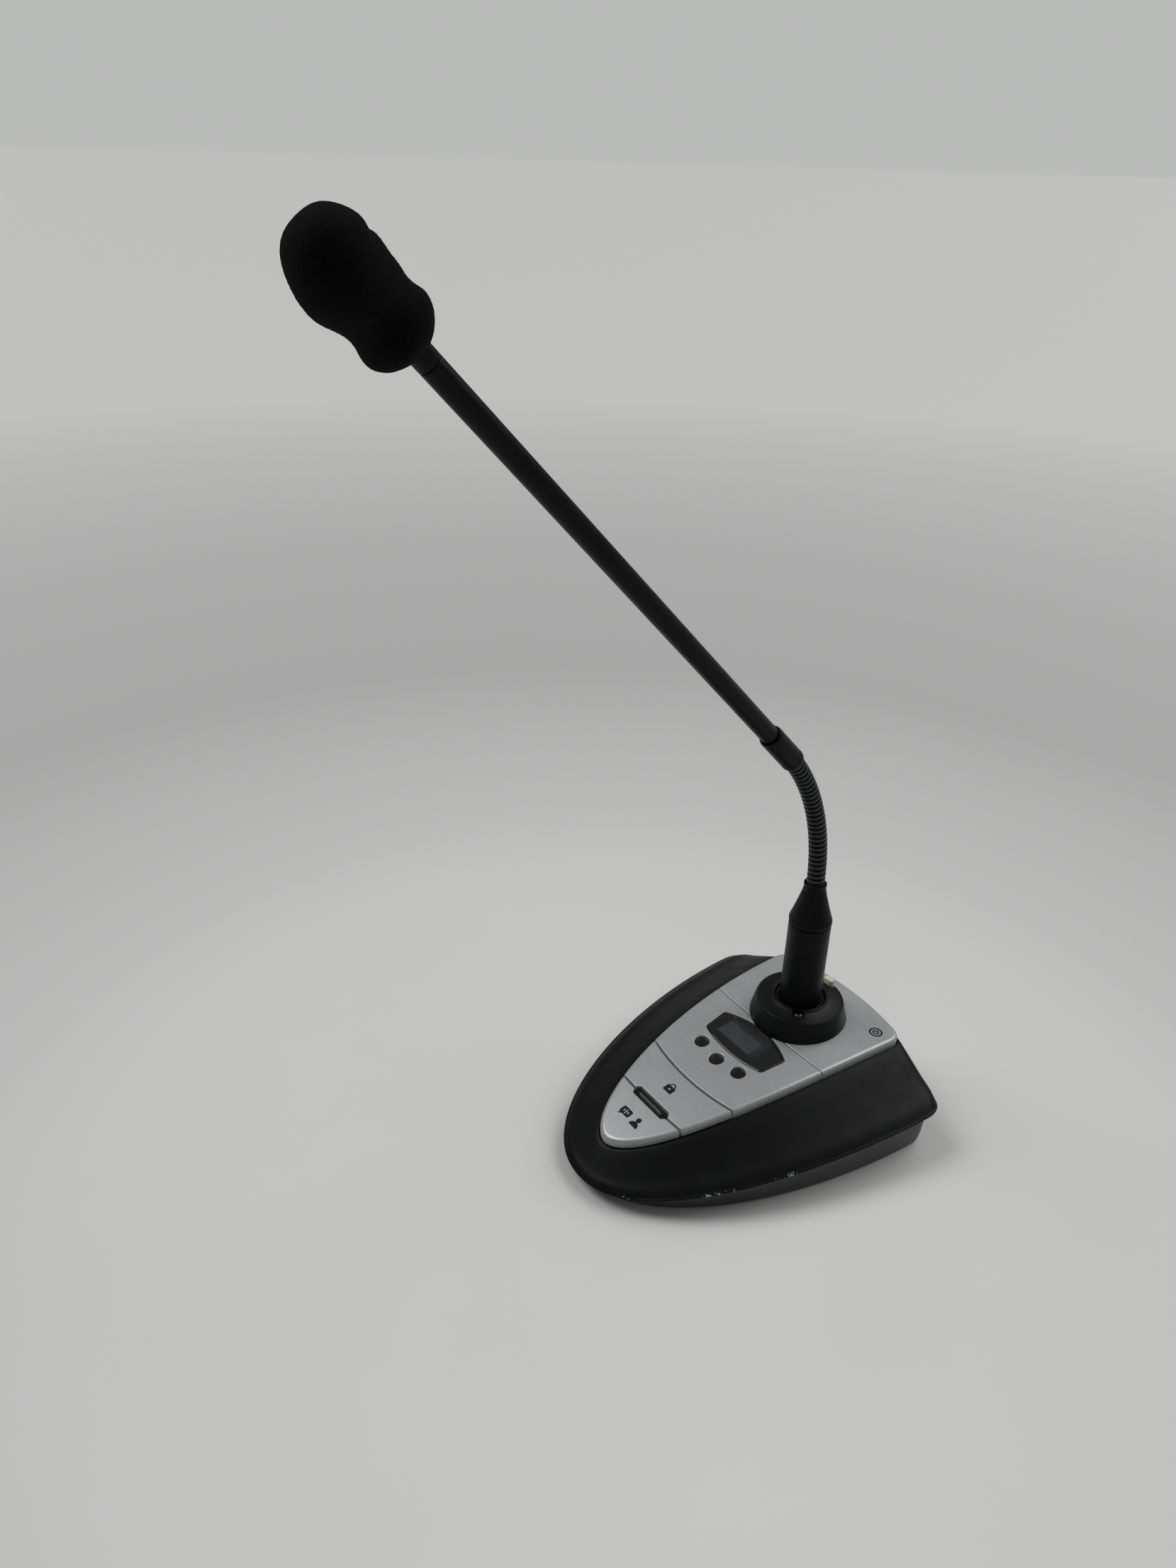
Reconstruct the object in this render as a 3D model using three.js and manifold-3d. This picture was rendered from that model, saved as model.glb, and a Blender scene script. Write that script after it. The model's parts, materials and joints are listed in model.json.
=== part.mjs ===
// Gooseneck podium microphone: a wedge-shaped talk station with a plug-in flexible microphone.
// Millimetres, +Z up, the talker sits at -Y and the talker's right is +X.
import * as THREE from 'three';
import { mergeVertices } from 'three/addons/utils/BufferGeometryUtils.js';
import Module from 'manifold-3d';

const wasm = await Module();
wasm.setup();

// ---------------------------------------------------------------- driving dimensions
// The socket's axis is x = 0, y = 0 while the parts are made; the whole stands this far back at the end.
const SOCKET_AXIS_Y = 91.6;
const GAP = 0.3;                 // clearance kept between pieces that rest on each other
const ABOVE = 60;                // higher than anything in the base, for cuts that go right through
const BESIDE = 60;               // further out to each side than anything under the deck
const AHEAD = -200;              // further forward than the nose

// Heights of the silver deck and of the black skirt's sharp edge, as a parabola along y.
const DECK = { height: 39.1, slope: 0.037, droop: 0.00115 };
const EDGE = { height: 19.8, slope: 0.037, droop: 0.0006 };

// Plan outlines: a superellipse arc from the nose to each rear corner, a bowed rear edge, rounded corners.
const PANEL = {
  nose: -108.8, rear: 26.4, halfWidth: 37.5, reach: 0.87, along: 2.08, across: 1.89, bow: 6.1, corner: 4.5,
};
const SKIRT = {
  nose: -123.9, rear: 27, halfWidth: 69.4, reach: 1, along: 1.86, across: 2.09, bow: 6, corner: 11,
};
const SIDE_STEPS = 13;
const CORNER_STEPS = 3;
const REAR_STEPS = 2;

// Silver plates and the well they stand in.
const PLATE_THICK = 2.2;
const PLATE_WALL_OUT = 1.7;      // the plate's wall stands this far outside its top outline
const PLATE_WALL_IN = -0.5;
const PLATE_DROP = 5.7;          // wall height of a fixed plate
const KEY_DROP = 3.5;            // wall height of a key, shorter by its travel
const WELL_OUT = 2.1;
const WELL_RIM = 3.6;            // depth of the housing's rim below the deck
const WELL_FLOOR = 6;
const WELL_UNDER = 8.2;
const SKIRT_WALL = 3.4;          // thickness of the skirt at its sharp edge
const SKIRT_WALL_ABOVE = 4.6;
const KEY_TRAVEL = 1.5;
const KEY_POST_RADIUS = 2;
const TALK_SWITCH = { x: 0, y: -98, top: 19.3 };
const LOCK_SWITCH = { x: 0, y: -75, top: 20.6 };

// Seams across the deck: y where they meet the sides, and how far the middle bows towards the nose.
const SEAM_TALK = { y: -85.5, bow: 0.7, half: 21, gap: 1 };
const SEAM_LOCK = { y: -62.9, bow: 3.2, half: 27.5, gap: 1 };
const SEAM_REAR = { y: -18.6, bow: 0.6, half: 35, gap: 0.4 };

const LED = { y: -85.9, recessX: 11.1, recessY: 2.4, holderX: 10.7, holderY: 2, barX: 9.2, barY: 1.2 };
const WINDOW = {
  rearX: 20.5, rearY: -26.7, rearBow: 5.3, frontX: 18.8, frontY: -39.9, frontBow: 2.5, corner: 1.6,
};
const LCD = { left: -15.6, right: 10.2, front: -37.1, rear: -25.4 };
const SET_BUTTONS = [
  { name: 'set_button_left', x: -12.5, y: -47.2 },
  { name: 'set_button_middle', x: 0, y: -49.1 },
  { name: 'set_button_right', x: 12.5, y: -47.2 },
];
const SET_BUTTON_RADIUS = 3;
const SET_BUTTON_HOLE = 3.4;
const SET_BUTTON_RECESS = 0.9;
const SET_BUTTON_TRAVEL = 0.8;
const BUTTON_SWITCH_TOP = 20.6;

// Bottom housing and what stands in it.
const UNDERSIDE = 1;
const FLOOR_TOP = 3.2;
const BAND_INSET = 4;            // the bottom housing's wall stands this far inside the skirt's edge
const BAND_FOOT_INSET = 5.5;
const BAND_WALL = 2.2;
const FEET = [[46, 12], [-46, 12], [30, -84], [-30, -84]];
const FOOT_RADIUS = 6;
const FOOT_TOP = 1.6;
const POCKET_TOP = 1.9;          // roof of the pockets for the feet and the battery door
const SCREW_POINTS = [[50, -6], [-50, -6], [41, -52], [-41, -52]];
const BATTERY = { x: 22, front: -80, rear: -46, bottom: 3.4, top: 13.4 };
const DOOR_SCREW_Y = BATTERY.rear + 4.4;
const STANDOFF_RADIUS = 2.2;
const KEY_BOARD = { bottom: 15.5, top: 17.1, inset: 6, rear: -24 };
const MAIN_BOARD = { x: 38, front: -26, rear: 21, bottom: 10, top: 11.6 };
const BALLAST = { x: 30, front: -24, rear: 19, bottom: 3.5, top: 7.5 };

// What shows in the rear wall: a power inlet, and a slide switch behind its slot.
const INLET = { x: -26, z: 25, nose: 3.5, bore: 2.75, pin: 0.95, front: 12, rear: 31.4 };
const SLIDE = { left: 24.3, right: 33.4, bottom: 23.5, top: 28.5, knobLeft: 24.7, knobRight: 29.5 };
const REAR_FACE = 26.4;          // inner face of the rear wall, where both sit

// Socket, its cone, and the plug that stands in it.
const CONE = { baseRadius: 22.2, creaseRadius: 19.7, creaseZ: 48.2, rimRadius: 12.2, rimZ: 50, bore: 11.5 };
const SOCKET_SCREWS = [[9.4, -9.9], [-9.4, 9.9]];
const SOCKET = {
  radius: 11.1, bore: 9.9, bottom: 22, floor: 23.7, flange: 16.6, flangeBottom: 33.6, flangeTop: 35.4, top: 48.8,
};
const SOCKET_SCREW_HOLE = 1.6;
const TAB = { halfWidth: 3, front: 17.4, rear: 21.2, bottom: 46, top: 51.6 };
const PIN_CIRCLE = 4.3;
const PLUG_RADIUS = 9.5;
const PLUG_BOTTOM = 26;
const BOOT_Z = 84;
const NECK_Z = 112;

// Gooseneck: links between nine pivots, then a straight stem at its tilt from the vertical.
const LINKS = 8;
const LINK_PITCH = 8.85;
const STEM_TILT = THREE.MathUtils.degToRad(44);
const TILT_GROWTH = 1.25;
const LINK_GAP = 1.2;
const FLEX_RADIUS = 4;
const GROOVE_RADIUS = 3.3;
const CABLE_BORE = 1.7;
const COLLAR_LENGTH = 21.5;
const STEM_RADIUS = 3.9;
const STEM_BORE = 2.9;
const STEM_SEAT = 12;            // depth in the collar at which the stem ends
const STEM_END = 226.4;          // measured along the stem's axis from the last pivot
const CAPSULE_RADIUS = 5.2;
const CAPSULE_BORE = 4.4;
const CAPSULE_FLOOR = 236;
const CAPSULE_MOUTH = 251;
const CAPSULE_END = 262;
const FOAM_START = 229.6;
const FOAM_LENGTH = 46;

// ---------------------------------------------------------------- materials
function material(color, roughness, metalness) {
  return new THREE.MeshStandardMaterial({ color, roughness, metalness });
}
const blackPlastic = material(0x1c1d1f, 0.6, 0);
const silverPaint = material(0xb9bbbd, 0.4, 0.5);
const glossBlack = material(0x08080a, 0.12, 0);
const smokedPlastic = material(0x121214, 0.2, 0);
const lcdGlass = material(0x59706b, 0.25, 0);
const softBlack = material(0x141416, 0.75, 0);
const creamPlastic = material(0xcfc8b4, 0.5, 0);
const boardGreen = material(0x1f5a35, 0.55, 0);
const blackMetal = material(0x1a1c20, 0.45, 0.4);
const brightMetal = material(0xc2c4c6, 0.3, 0.9);
const goldMetal = material(0xc9a24a, 0.3, 0.9);
const steel = material(0x8b8f93, 0.45, 0.8);
const batteryWrap = material(0x2b4f8a, 0.5, 0);
const foamBlack = material(0x0b0b0c, 1, 0);

// ---------------------------------------------------------------- making and cutting solids
function toSolid(geometry) {
  const bare = geometry.clone();
  bare.deleteAttribute('normal');
  bare.deleteAttribute('uv');
  const merged = mergeVertices(bare, 1e-4);
  const position = merged.getAttribute('position').array;
  const corners = [];
  for (let i = 0; i < merged.index.count; i += 3) {
    const [a, b, c] = [0, 1, 2].map((k) => merged.index.getX(i + k));
    if (a !== b && b !== c && c !== a) corners.push([a, b, c]);
  }
  const at = (i) => new THREE.Vector3().fromArray(position, 3 * i);
  const volume = corners.reduce((sum, [a, b, c]) => sum + at(a).dot(at(b).cross(at(c))), 0);
  const outward = volume < 0 ? corners.map(([a, b, c]) => [a, c, b]) : corners;
  return new wasm.Manifold(new wasm.Mesh({
    numProp: 3,
    vertProperties: new Float32Array(position),
    triVerts: new Uint32Array(outward.flat()),
  }));
}

function toGeometry(solid) {
  const mesh = solid.getMesh();
  const geometry = new THREE.BufferGeometry();
  geometry.setAttribute('position', new THREE.BufferAttribute(new Float32Array(mesh.vertProperties), 3));
  geometry.setIndex(new THREE.BufferAttribute(new Uint32Array(mesh.triVerts), 1));
  return geometry;
}

function addAll(first, ...others) {
  return others.flat().reduce((sum, next) => sum.add(next), first);
}

function cutAll(first, ...others) {
  return others.flat().reduce((rest, next) => rest.subtract(next), first);
}

function block(x0, x1, y0, y1, z0, z1) {
  const geometry = new THREE.BoxGeometry(x1 - x0, y1 - y0, z1 - z0);
  return toSolid(geometry.translate((x0 + x1) / 2, (y0 + y1) / 2, (z0 + z1) / 2));
}

function post(radius, z0, z1, x = 0, y = 0, segments = 16) {
  const geometry = new THREE.CylinderGeometry(radius, radius, z1 - z0, segments);
  return toSolid(geometry.rotateX(Math.PI / 2).translate(x, y, (z0 + z1) / 2));
}

function rodAlongY(radius, y0, y1, x, z, segments = 16) {
  const geometry = new THREE.CylinderGeometry(radius, radius, y1 - y0, segments);
  return toSolid(geometry.translate(x, (y0 + y1) / 2, z));
}

// A profile of [radius, height] pairs turned about the z axis.
function turned(profile, segments = 32, x = 0, y = 0) {
  const points = profile.map(([r, z]) => new THREE.Vector2(r, z));
  return toSolid(new THREE.LatheGeometry(points, segments).rotateX(Math.PI / 2).translate(x, y, 0));
}

function prism(shape, z0, z1, curveSegments = 6) {
  const geometry = new THREE.ExtrudeGeometry(shape, { depth: z1 - z0, bevelEnabled: false, curveSegments });
  return toSolid(geometry.translate(0, 0, z0));
}

function roundedRectangle(cx, cy, halfX, halfY, radius) {
  const shape = new THREE.Shape();
  shape.absarc(cx + halfX - radius, cy - halfY + radius, radius, -Math.PI / 2, 0);
  shape.absarc(cx + halfX - radius, cy + halfY - radius, radius, 0, Math.PI / 2);
  shape.absarc(cx - halfX + radius, cy + halfY - radius, radius, Math.PI / 2, Math.PI);
  shape.absarc(cx - halfX + radius, cy - halfY + radius, radius, Math.PI, 1.5 * Math.PI);
  return shape;
}

// ---------------------------------------------------------------- the base's plan outlines and lofts
const heightOf = (surface, y) => surface.height + surface.slope * y - surface.droop * y * y;
const deckZ = (y) => heightOf(DECK, y);
const edgeZ = (y) => heightOf(EDGE, y);

function grown(plan, by) {
  return {
    ...plan,
    nose: plan.nose - by,
    rear: plan.rear + by,
    halfWidth: plan.halfWidth + by,
    corner: Math.max(plan.corner + by, 1),
  };
}

// Right half of an outline from the nose to the middle of the rear edge, as [x, y] pairs.
function halfOutline(plan) {
  const length = plan.rear - plan.nose;
  const widthAt = (u) => plan.halfWidth * (1 - (1 - plan.reach * u) ** plan.along) ** (1 / plan.across);
  const endWidth = widthAt(1);
  const rearAt = (x) => plan.rear + plan.bow * (1 - (x / endWidth) ** 2);
  const cornerStart = 1 - plan.corner / length;
  const points = [];
  for (let i = 0; i <= SIDE_STEPS; i += 1) {
    const u = cornerStart * (i / SIDE_STEPS) ** 2;
    points.push([widthAt(u), plan.nose + length * u]);
  }
  const inner = endWidth - plan.corner;
  const curve = new THREE.QuadraticBezierCurve(
    new THREE.Vector2(widthAt(cornerStart), plan.rear - plan.corner),
    new THREE.Vector2(endWidth, plan.rear),
    new THREE.Vector2(inner, rearAt(inner)),
  );
  for (let i = 1; i <= CORNER_STEPS; i += 1) {
    const p = curve.getPoint(i / CORNER_STEPS);
    points.push([p.x, p.y]);
  }
  for (let i = 1; i <= REAR_STEPS; i += 1) {
    const x = inner * (1 - i / REAR_STEPS);
    points.push([x, rearAt(x)]);
  }
  return points;
}

// The closed loop of an outline, each point lifted to the height that zAt gives for its y.
function ring(plan, zAt) {
  const half = halfOutline(plan);
  const left = half.slice(1, -1).reverse().map(([x, y]) => [-x, y]);
  return [...half, ...left].map(([x, y]) => new THREE.Vector3(x, y, zAt(y)));
}

function between(ringA, ringB, across, down) {
  return ringA.map((a, i) => {
    const b = ringB[i];
    const mix = THREE.MathUtils.lerp;
    return new THREE.Vector3(mix(a.x, b.x, across), mix(a.y, b.y, across), mix(a.z, b.z, down));
  });
}

// A closed solid through rings of equal length, lowest first; its ends are strips across the outline.
function loft(rings) {
  const n = rings[0].length;
  const positions = rings.flat().flatMap((p) => [p.x, p.y, p.z]);
  const index = [];
  for (let level = 0; level + 1 < rings.length; level += 1) {
    for (let i = 0; i < n; i += 1) {
      const a = level * n + i;
      const b = level * n + ((i + 1) % n);
      index.push(a, b, b + n, a, b + n, a + n);
    }
  }
  const mirror = (i) => (n - i) % n;
  const top = (rings.length - 1) * n;
  for (let i = 0; i < n / 2; i += 1) {
    const quad = [i, i + 1, mirror(i + 1), mirror(i)];
    const [a, b, c, d] = quad;
    if (b !== c) index.push(a, c, b, top + a, top + b, top + c);
    if (a !== d) index.push(a, d, c, top + a, top + c, top + d);
  }
  const geometry = new THREE.BufferGeometry();
  geometry.setAttribute('position', new THREE.Float32BufferAttribute(positions, 3));
  geometry.setIndex(index);
  return toSolid(geometry);
}

// The part of an outline's column between two depths below the deck.
function slab(plan, lowDepth, highDepth) {
  return loft([ring(plan, (y) => deckZ(y) - lowDepth), ring(plan, (y) => deckZ(y) - highDepth)]);
}

// Everything between two seams, as an upright prism wider than the deck.
function bandBetween(front, rear) {
  const reach = 60;
  const steps = 8;
  const seamY = (seam, x, side) => (seam
    ? seam.y - seam.bow * (1 - (x / seam.half) ** 2) + side * seam.gap / 2
    : side * 200 * -1);
  const shape = new THREE.Shape();
  for (let i = 0; i <= steps; i += 1) {
    const x = -reach + (2 * reach * i) / steps;
    const y = seamY(front, x, 1);
    if (i === 0) shape.moveTo(x, y);
    else shape.lineTo(x, y);
  }
  for (let i = steps; i >= 0; i -= 1) {
    const x = -reach + (2 * reach * i) / steps;
    shape.lineTo(x, seamY(rear, x, -1));
  }
  return prism(shape, -10, 70);
}

// ---------------------------------------------------------------- the scene graph
const microphone = new THREE.Group();
microphone.position.y = SOCKET_AXIS_Y;

function addPart(name, solid, partMaterial, parent = microphone) {
  const mesh = new THREE.Mesh(toGeometry(solid), partMaterial);
  mesh.name = name;
  parent.add(mesh);
  return mesh;
}

// ---------------------------------------------------------------- housings
const wellRing = ring(grown(PANEL, WELL_OUT), (y) => deckZ(y) - WELL_RIM);
const skirtRing = ring(SKIRT, edgeZ);

function makeUpperHousing() {
  // Steps down the flank: how far out towards the edge, and how far down, each from 0 to 1.
  const flank = [[1, 1], [0.855, 0.8], [0.67, 0.634], [0.38, 0.337], [0.236, 0.188], [0.09, 0.05], [0, 0]];
  const outer = loft(flank.map(([across, down]) => between(wellRing, skirtRing, across, down)));
  const upperInside = between(
    ring(grown(PANEL, WELL_OUT - 2.4), (y) => deckZ(y) - WELL_UNDER),
    ring(grown(SKIRT, -SKIRT_WALL_ABOVE), (y) => deckZ(y) - WELL_UNDER),
    0.15,
    0,
  );
  const inside = loft([
    ring(grown(SKIRT, -SKIRT_WALL), (y) => edgeZ(y) - 2),
    ring(grown(SKIRT, -SKIRT_WALL), (y) => edgeZ(y) + 0.7),
    ring(grown(SKIRT, -SKIRT_WALL_ABOVE), (y) => edgeZ(y) + 1.4),
    upperInside,
  ]);
  const well = slab(grown(PANEL, WELL_OUT), WELL_FLOOR, -5);
  const frontHalf = block(-BESIDE, BESIDE, AHEAD, KEY_BOARD.rear, 0, ABOVE);
  const frontOpening = slab(grown(PANEL, -2.6), 14, 2).intersect(frontHalf);
  const socketOpening = post(SOCKET.flange + 0.6, 20, ABOVE, 0, 0, 24);
  const shell = cutAll(outer, inside, well, frontOpening, socketOpening);
  const bosses = SCREW_POINTS.map(([x, y]) => post(3.4, FLOOR_TOP + 2, 40, x, y, 12).intersect(outer));
  const pilots = SCREW_POINTS.map(([x, y]) => post(1.8, 0, 16, x, y, 8));
  const switchSlot = block(SLIDE.left, SLIDE.right, 20, 40, SLIDE.bottom, SLIDE.top);
  const jackHole = rodAlongY(INLET.nose + 0.4, 20, 40, INLET.x, INLET.z);
  return cutAll(addAll(shell, bosses), pilots, switchSlot, jackHole);
}

function makeBottomHousing() {
  const outer = loft([
    ring(grown(SKIRT, -BAND_FOOT_INSET), () => UNDERSIDE),
    ring(grown(SKIRT, -BAND_INSET), (y) => edgeZ(y) + 0.2),
  ]);
  const inside = loft([
    ring(grown(SKIRT, -BAND_FOOT_INSET - BAND_WALL), () => FLOOR_TOP),
    ring(grown(SKIRT, -BAND_INSET - BAND_WALL), (y) => edgeZ(y) + 5),
  ]);
  const footPockets = FEET.map(([x, y]) => post(FOOT_RADIUS + GAP, 0, POCKET_TOP, x, y, 14));
  const screwWays = SCREW_POINTS.map(([x, y]) => addAll(post(3.1, 0, 2.3, x, y, 12), post(1.8, 0, 9, x, y, 8)));
  const bay = block(-BATTERY.x - 1.4, BATTERY.x + 1.4, BATTERY.front - 1.4, BATTERY.rear + 1.4, 0, FLOOR_TOP + 1);
  const screwFlange = post(3.6, FLOOR_TOP - 1, FLOOR_TOP, 0, DOOR_SCREW_Y);
  const doorScrewHole = post(1.3, 0, FLOOR_TOP, 0, DOOR_SCREW_Y, 10);
  const standoffs = [[9, -96], [-9, -96], [22, -36], [-22, -36]].map(
    ([x, y]) => post(STANDOFF_RADIUS, FLOOR_TOP - 1, KEY_BOARD.bottom - GAP, x, y, 10),
  );
  const boardPosts = [[34, -21], [-34, -21], [34, 16], [-34, 16]].map(
    ([x, y]) => post(STANDOFF_RADIUS, FLOOR_TOP - 1, MAIN_BOARD.bottom - GAP, x, y, 10),
  );
  const tray = cutAll(outer, inside);
  const doorLip = block(-5, 5, BATTERY.rear + 1, BATTERY.rear + 8, 0, POCKET_TOP);
  const solid = addAll(tray, screwFlange, standoffs, boardPosts);
  return cutAll(solid, footPockets, screwWays, bay, doorLip, doorScrewHole);
}

addPart('bottom_housing', makeBottomHousing(), blackPlastic);
addPart('upper_housing', makeUpperHousing(), blackPlastic);
FEET.forEach(([x, y], i) => addPart(`rubber_foot_${i + 1}`, post(FOOT_RADIUS, 0, FOOT_TOP, x, y, 14), softBlack));
const housingScrew = [[0, UNDERSIDE + 0.2], [2.7, UNDERSIDE + 0.2], [2.7, 2], [1.5, 2], [1.5, 14], [0, 14]];
SCREW_POINTS.forEach(([x, y], i) => addPart(`housing_screw_${i + 1}`, turned(housingScrew, 12, x, y), steel));

// ---------------------------------------------------------------- deck: plates, keys, window, buttons
function plateBody(drop) {
  const outer = loft([
    ring(grown(PANEL, PLATE_WALL_OUT), (y) => deckZ(y) - drop),
    ring(grown(PANEL, PLATE_WALL_OUT - 0.1), (y) => deckZ(y) - 1.7),
    ring(grown(PANEL, 1), (y) => deckZ(y) - 0.6),
    ring(PANEL, deckZ),
  ]);
  return outer.subtract(slab(grown(PANEL, PLATE_WALL_IN), drop + 3, PLATE_THICK));
}

function windowShape(margin) {
  const w = WINDOW;
  const [rx, ry, fx, fy] = [w.rearX + margin, w.rearY, w.frontX + margin, w.frontY];
  const r = w.corner;
  const shape = new THREE.Shape();
  shape.moveTo(-fx + r, fy - margin - 0.25);
  shape.quadraticCurveTo(0, fy - margin - 2 * w.frontBow, fx - r, fy - margin - 0.25);
  shape.quadraticCurveTo(fx, fy - margin, fx + 0.2, fy + r);
  shape.lineTo(rx - 0.2, ry - r);
  shape.quadraticCurveTo(rx, ry + margin, rx - r, ry + margin + 0.6);
  shape.quadraticCurveTo(0, ry + margin + 2 * w.rearBow, -rx + r, ry + margin + 0.6);
  shape.quadraticCurveTo(-rx, ry + margin, -rx + 0.2, ry - r);
  shape.lineTo(-fx - 0.2, fy + r);
  shape.quadraticCurveTo(-fx, fy - margin, -fx + r, fy - margin - 0.25);
  return shape;
}

const ledRecess = prism(roundedRectangle(0, LED.y, LED.recessX, LED.recessY, 1.4), 0, ABOVE);

function makeKey(front, rear, postY, postBottom) {
  const cap = plateBody(KEY_DROP).intersect(bandBetween(front, rear));
  const plunger = post(KEY_POST_RADIUS, postBottom, deckZ(postY) - 1.5, 0, postY, 12);
  return addAll(cap, plunger).subtract(ledRecess);
}

const keyPostBottom = (keySwitch) => keySwitch.top + KEY_TRAVEL + GAP;
addPart('talk_key', makeKey(null, SEAM_TALK, TALK_SWITCH.y, keyPostBottom(TALK_SWITCH)), silverPaint);
addPart('lock_key', makeKey(SEAM_TALK, SEAM_LOCK, LOCK_SWITCH.y, keyPostBottom(LOCK_SWITCH)), silverPaint);

const buttonHoles = SET_BUTTONS.map(({ x, y }) => post(SET_BUTTON_HOLE, 10, ABOVE, x, y, 16));
addPart('display_plate', cutAll(
  plateBody(PLATE_DROP).intersect(bandBetween(SEAM_LOCK, SEAM_REAR)),
  prism(windowShape(GAP), 0, ABOVE),
  buttonHoles,
), silverPaint);

const socketScrewHoles = SOCKET_SCREWS.map(([x, y]) => post(SOCKET_SCREW_HOLE, 20, ABOVE, x, y, 10));
addPart('rear_plate', cutAll(
  plateBody(PLATE_DROP).intersect(bandBetween(SEAM_REAR, null)),
  post(CONE.rimRadius, 20, ABOVE, 0, 0, 24),
  socketScrewHoles,
), silverPaint);

addPart('lcd_window', prism(windowShape(0), 0, ABOVE).intersect(slab(PANEL, 2, 0.15)), glossBlack);
const lcdColumn = block(LCD.left, LCD.right, LCD.front, LCD.rear, 0, ABOVE);
addPart('lcd_module', lcdColumn.intersect(slab(PANEL, 5, 2.4)), lcdGlass);

addPart('led_holder', cutAll(
  prism(roundedRectangle(0, LED.y, LED.holderX, LED.holderY, 1.2), KEY_BOARD.top + GAP, 50),
  slab(grown(PANEL, 20), 1.6, -40),
  prism(roundedRectangle(0, LED.y, LED.barX + GAP, LED.barY + GAP, 1), KEY_BOARD.top + 4, 50),
), softBlack);
addPart('led_light_bar', cutAll(
  prism(roundedRectangle(0, LED.y, LED.barX, LED.barY, 0.8), KEY_BOARD.top + 4 + GAP, 50),
  slab(grown(PANEL, 20), 0.8, -40),
), smokedPlastic);

function setButton(x, y) {
  const top = deckZ(y) - SET_BUTTON_RECESS;
  const flangeTop = deckZ(y) - PLATE_THICK - 0.8;
  const stemBottom = BUTTON_SWITCH_TOP + SET_BUTTON_TRAVEL + GAP;
  return turned([
    [0, stemBottom], [1.3, stemBottom], [1.3, flangeTop - 1], [4, flangeTop - 1], [4, flangeTop],
    [SET_BUTTON_RADIUS, flangeTop], [SET_BUTTON_RADIUS, top - 0.4], [SET_BUTTON_RADIUS - 0.4, top], [0, top - 0.3],
  ], 14, x, y);
}
SET_BUTTONS.forEach(({ name, x, y }) => addPart(name, setButton(x, y), softBlack));

// ---------------------------------------------------------------- boards and power inside the base
// The key board carries a soldered switch under each key and button.
function tactSwitch({ x, y, top }) {
  const shoulder = top - 0.7;
  const box = block(x - 3, x + 3, y - 3, y + 3, KEY_BOARD.top - 0.5, shoulder);
  return post(1.6, shoulder - 0.2, top, x, y, 12).add(box);
}
const boardSheet = loft([
  ring(grown(PANEL, -KEY_BOARD.inset), () => KEY_BOARD.bottom),
  ring(grown(PANEL, -KEY_BOARD.inset), () => KEY_BOARD.top),
]).intersect(block(-BESIDE, BESIDE, AHEAD, KEY_BOARD.rear, 0, ABOVE));
const buttonSwitches = SET_BUTTONS.map(({ x, y }) => ({ x, y, top: BUTTON_SWITCH_TOP }));
const switches = [TALK_SWITCH, LOCK_SWITCH, ...buttonSwitches].map(tactSwitch);
addPart('key_board', addAll(boardSheet, switches), boardGreen);

const brick = ({ x, front, rear, bottom, top }) => block(-x, x, front, rear, bottom, top);
addPart('main_board', brick(MAIN_BOARD), boardGreen);
addPart('ballast_plate', brick(BALLAST), steel);
addPart('battery_pack', brick(BATTERY), batteryWrap);
addPart('battery_door', cutAll(addAll(
  block(-BATTERY.x - 1, BATTERY.x + 1, BATTERY.front - 1, BATTERY.rear + 1, UNDERSIDE, UNDERSIDE + 1.8),
  block(-4.6, 4.6, BATTERY.rear, BATTERY.rear + 7.6, UNDERSIDE, UNDERSIDE + 0.6),
), post(1.6, 0, 5, 0, DOOR_SCREW_Y, 10)), blackPlastic);
addPart('battery_door_screw', turned(
  [[0, 0.2], [2.2, 0.2], [2.2, 0.7], [1, 0.7], [1, 3], [0, 3]],
  12,
  0,
  DOOR_SCREW_Y,
), steel);
addPart('antenna', block(-14, 14, 23.5, 24.3, MAIN_BOARD.bottom, 23), goldMetal);
addPart('board_cable', block(-7, 7, -23.6, -23.1, MAIN_BOARD.top + GAP, KEY_BOARD.bottom + 1.2), creamPlastic);

const inletBlock = block(INLET.x - 4.5, INLET.x + 4.5, INLET.front, REAR_FACE, 20.9, 30);
addPart('dc_jack', addAll(cutAll(
  addAll(inletBlock, rodAlongY(INLET.nose, REAR_FACE - 0.4, INLET.rear, INLET.x, INLET.z)),
  rodAlongY(INLET.bore, INLET.front + 4, 40, INLET.x, INLET.z),
), rodAlongY(INLET.pin, INLET.front + 3, INLET.rear - 1.4, INLET.x, INLET.z, 10)), softBlack);
addPart('power_switch_body', cutAll(
  block(22, 35, 18, REAR_FACE, 21, 31),
  block(SLIDE.left, SLIDE.right, 23.5, 40, SLIDE.bottom, SLIDE.top),
), softBlack);
addPart('power_switch_knob', addAll(
  block(SLIDE.knobLeft, SLIDE.knobRight, 23.9, REAR_FACE, SLIDE.bottom + 0.4, SLIDE.top - 0.4),
  block(SLIDE.knobLeft + GAP, SLIDE.knobRight - GAP, REAR_FACE - 0.4, 33.6, SLIDE.bottom + 0.7, SLIDE.top - 0.7),
), softBlack);

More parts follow.
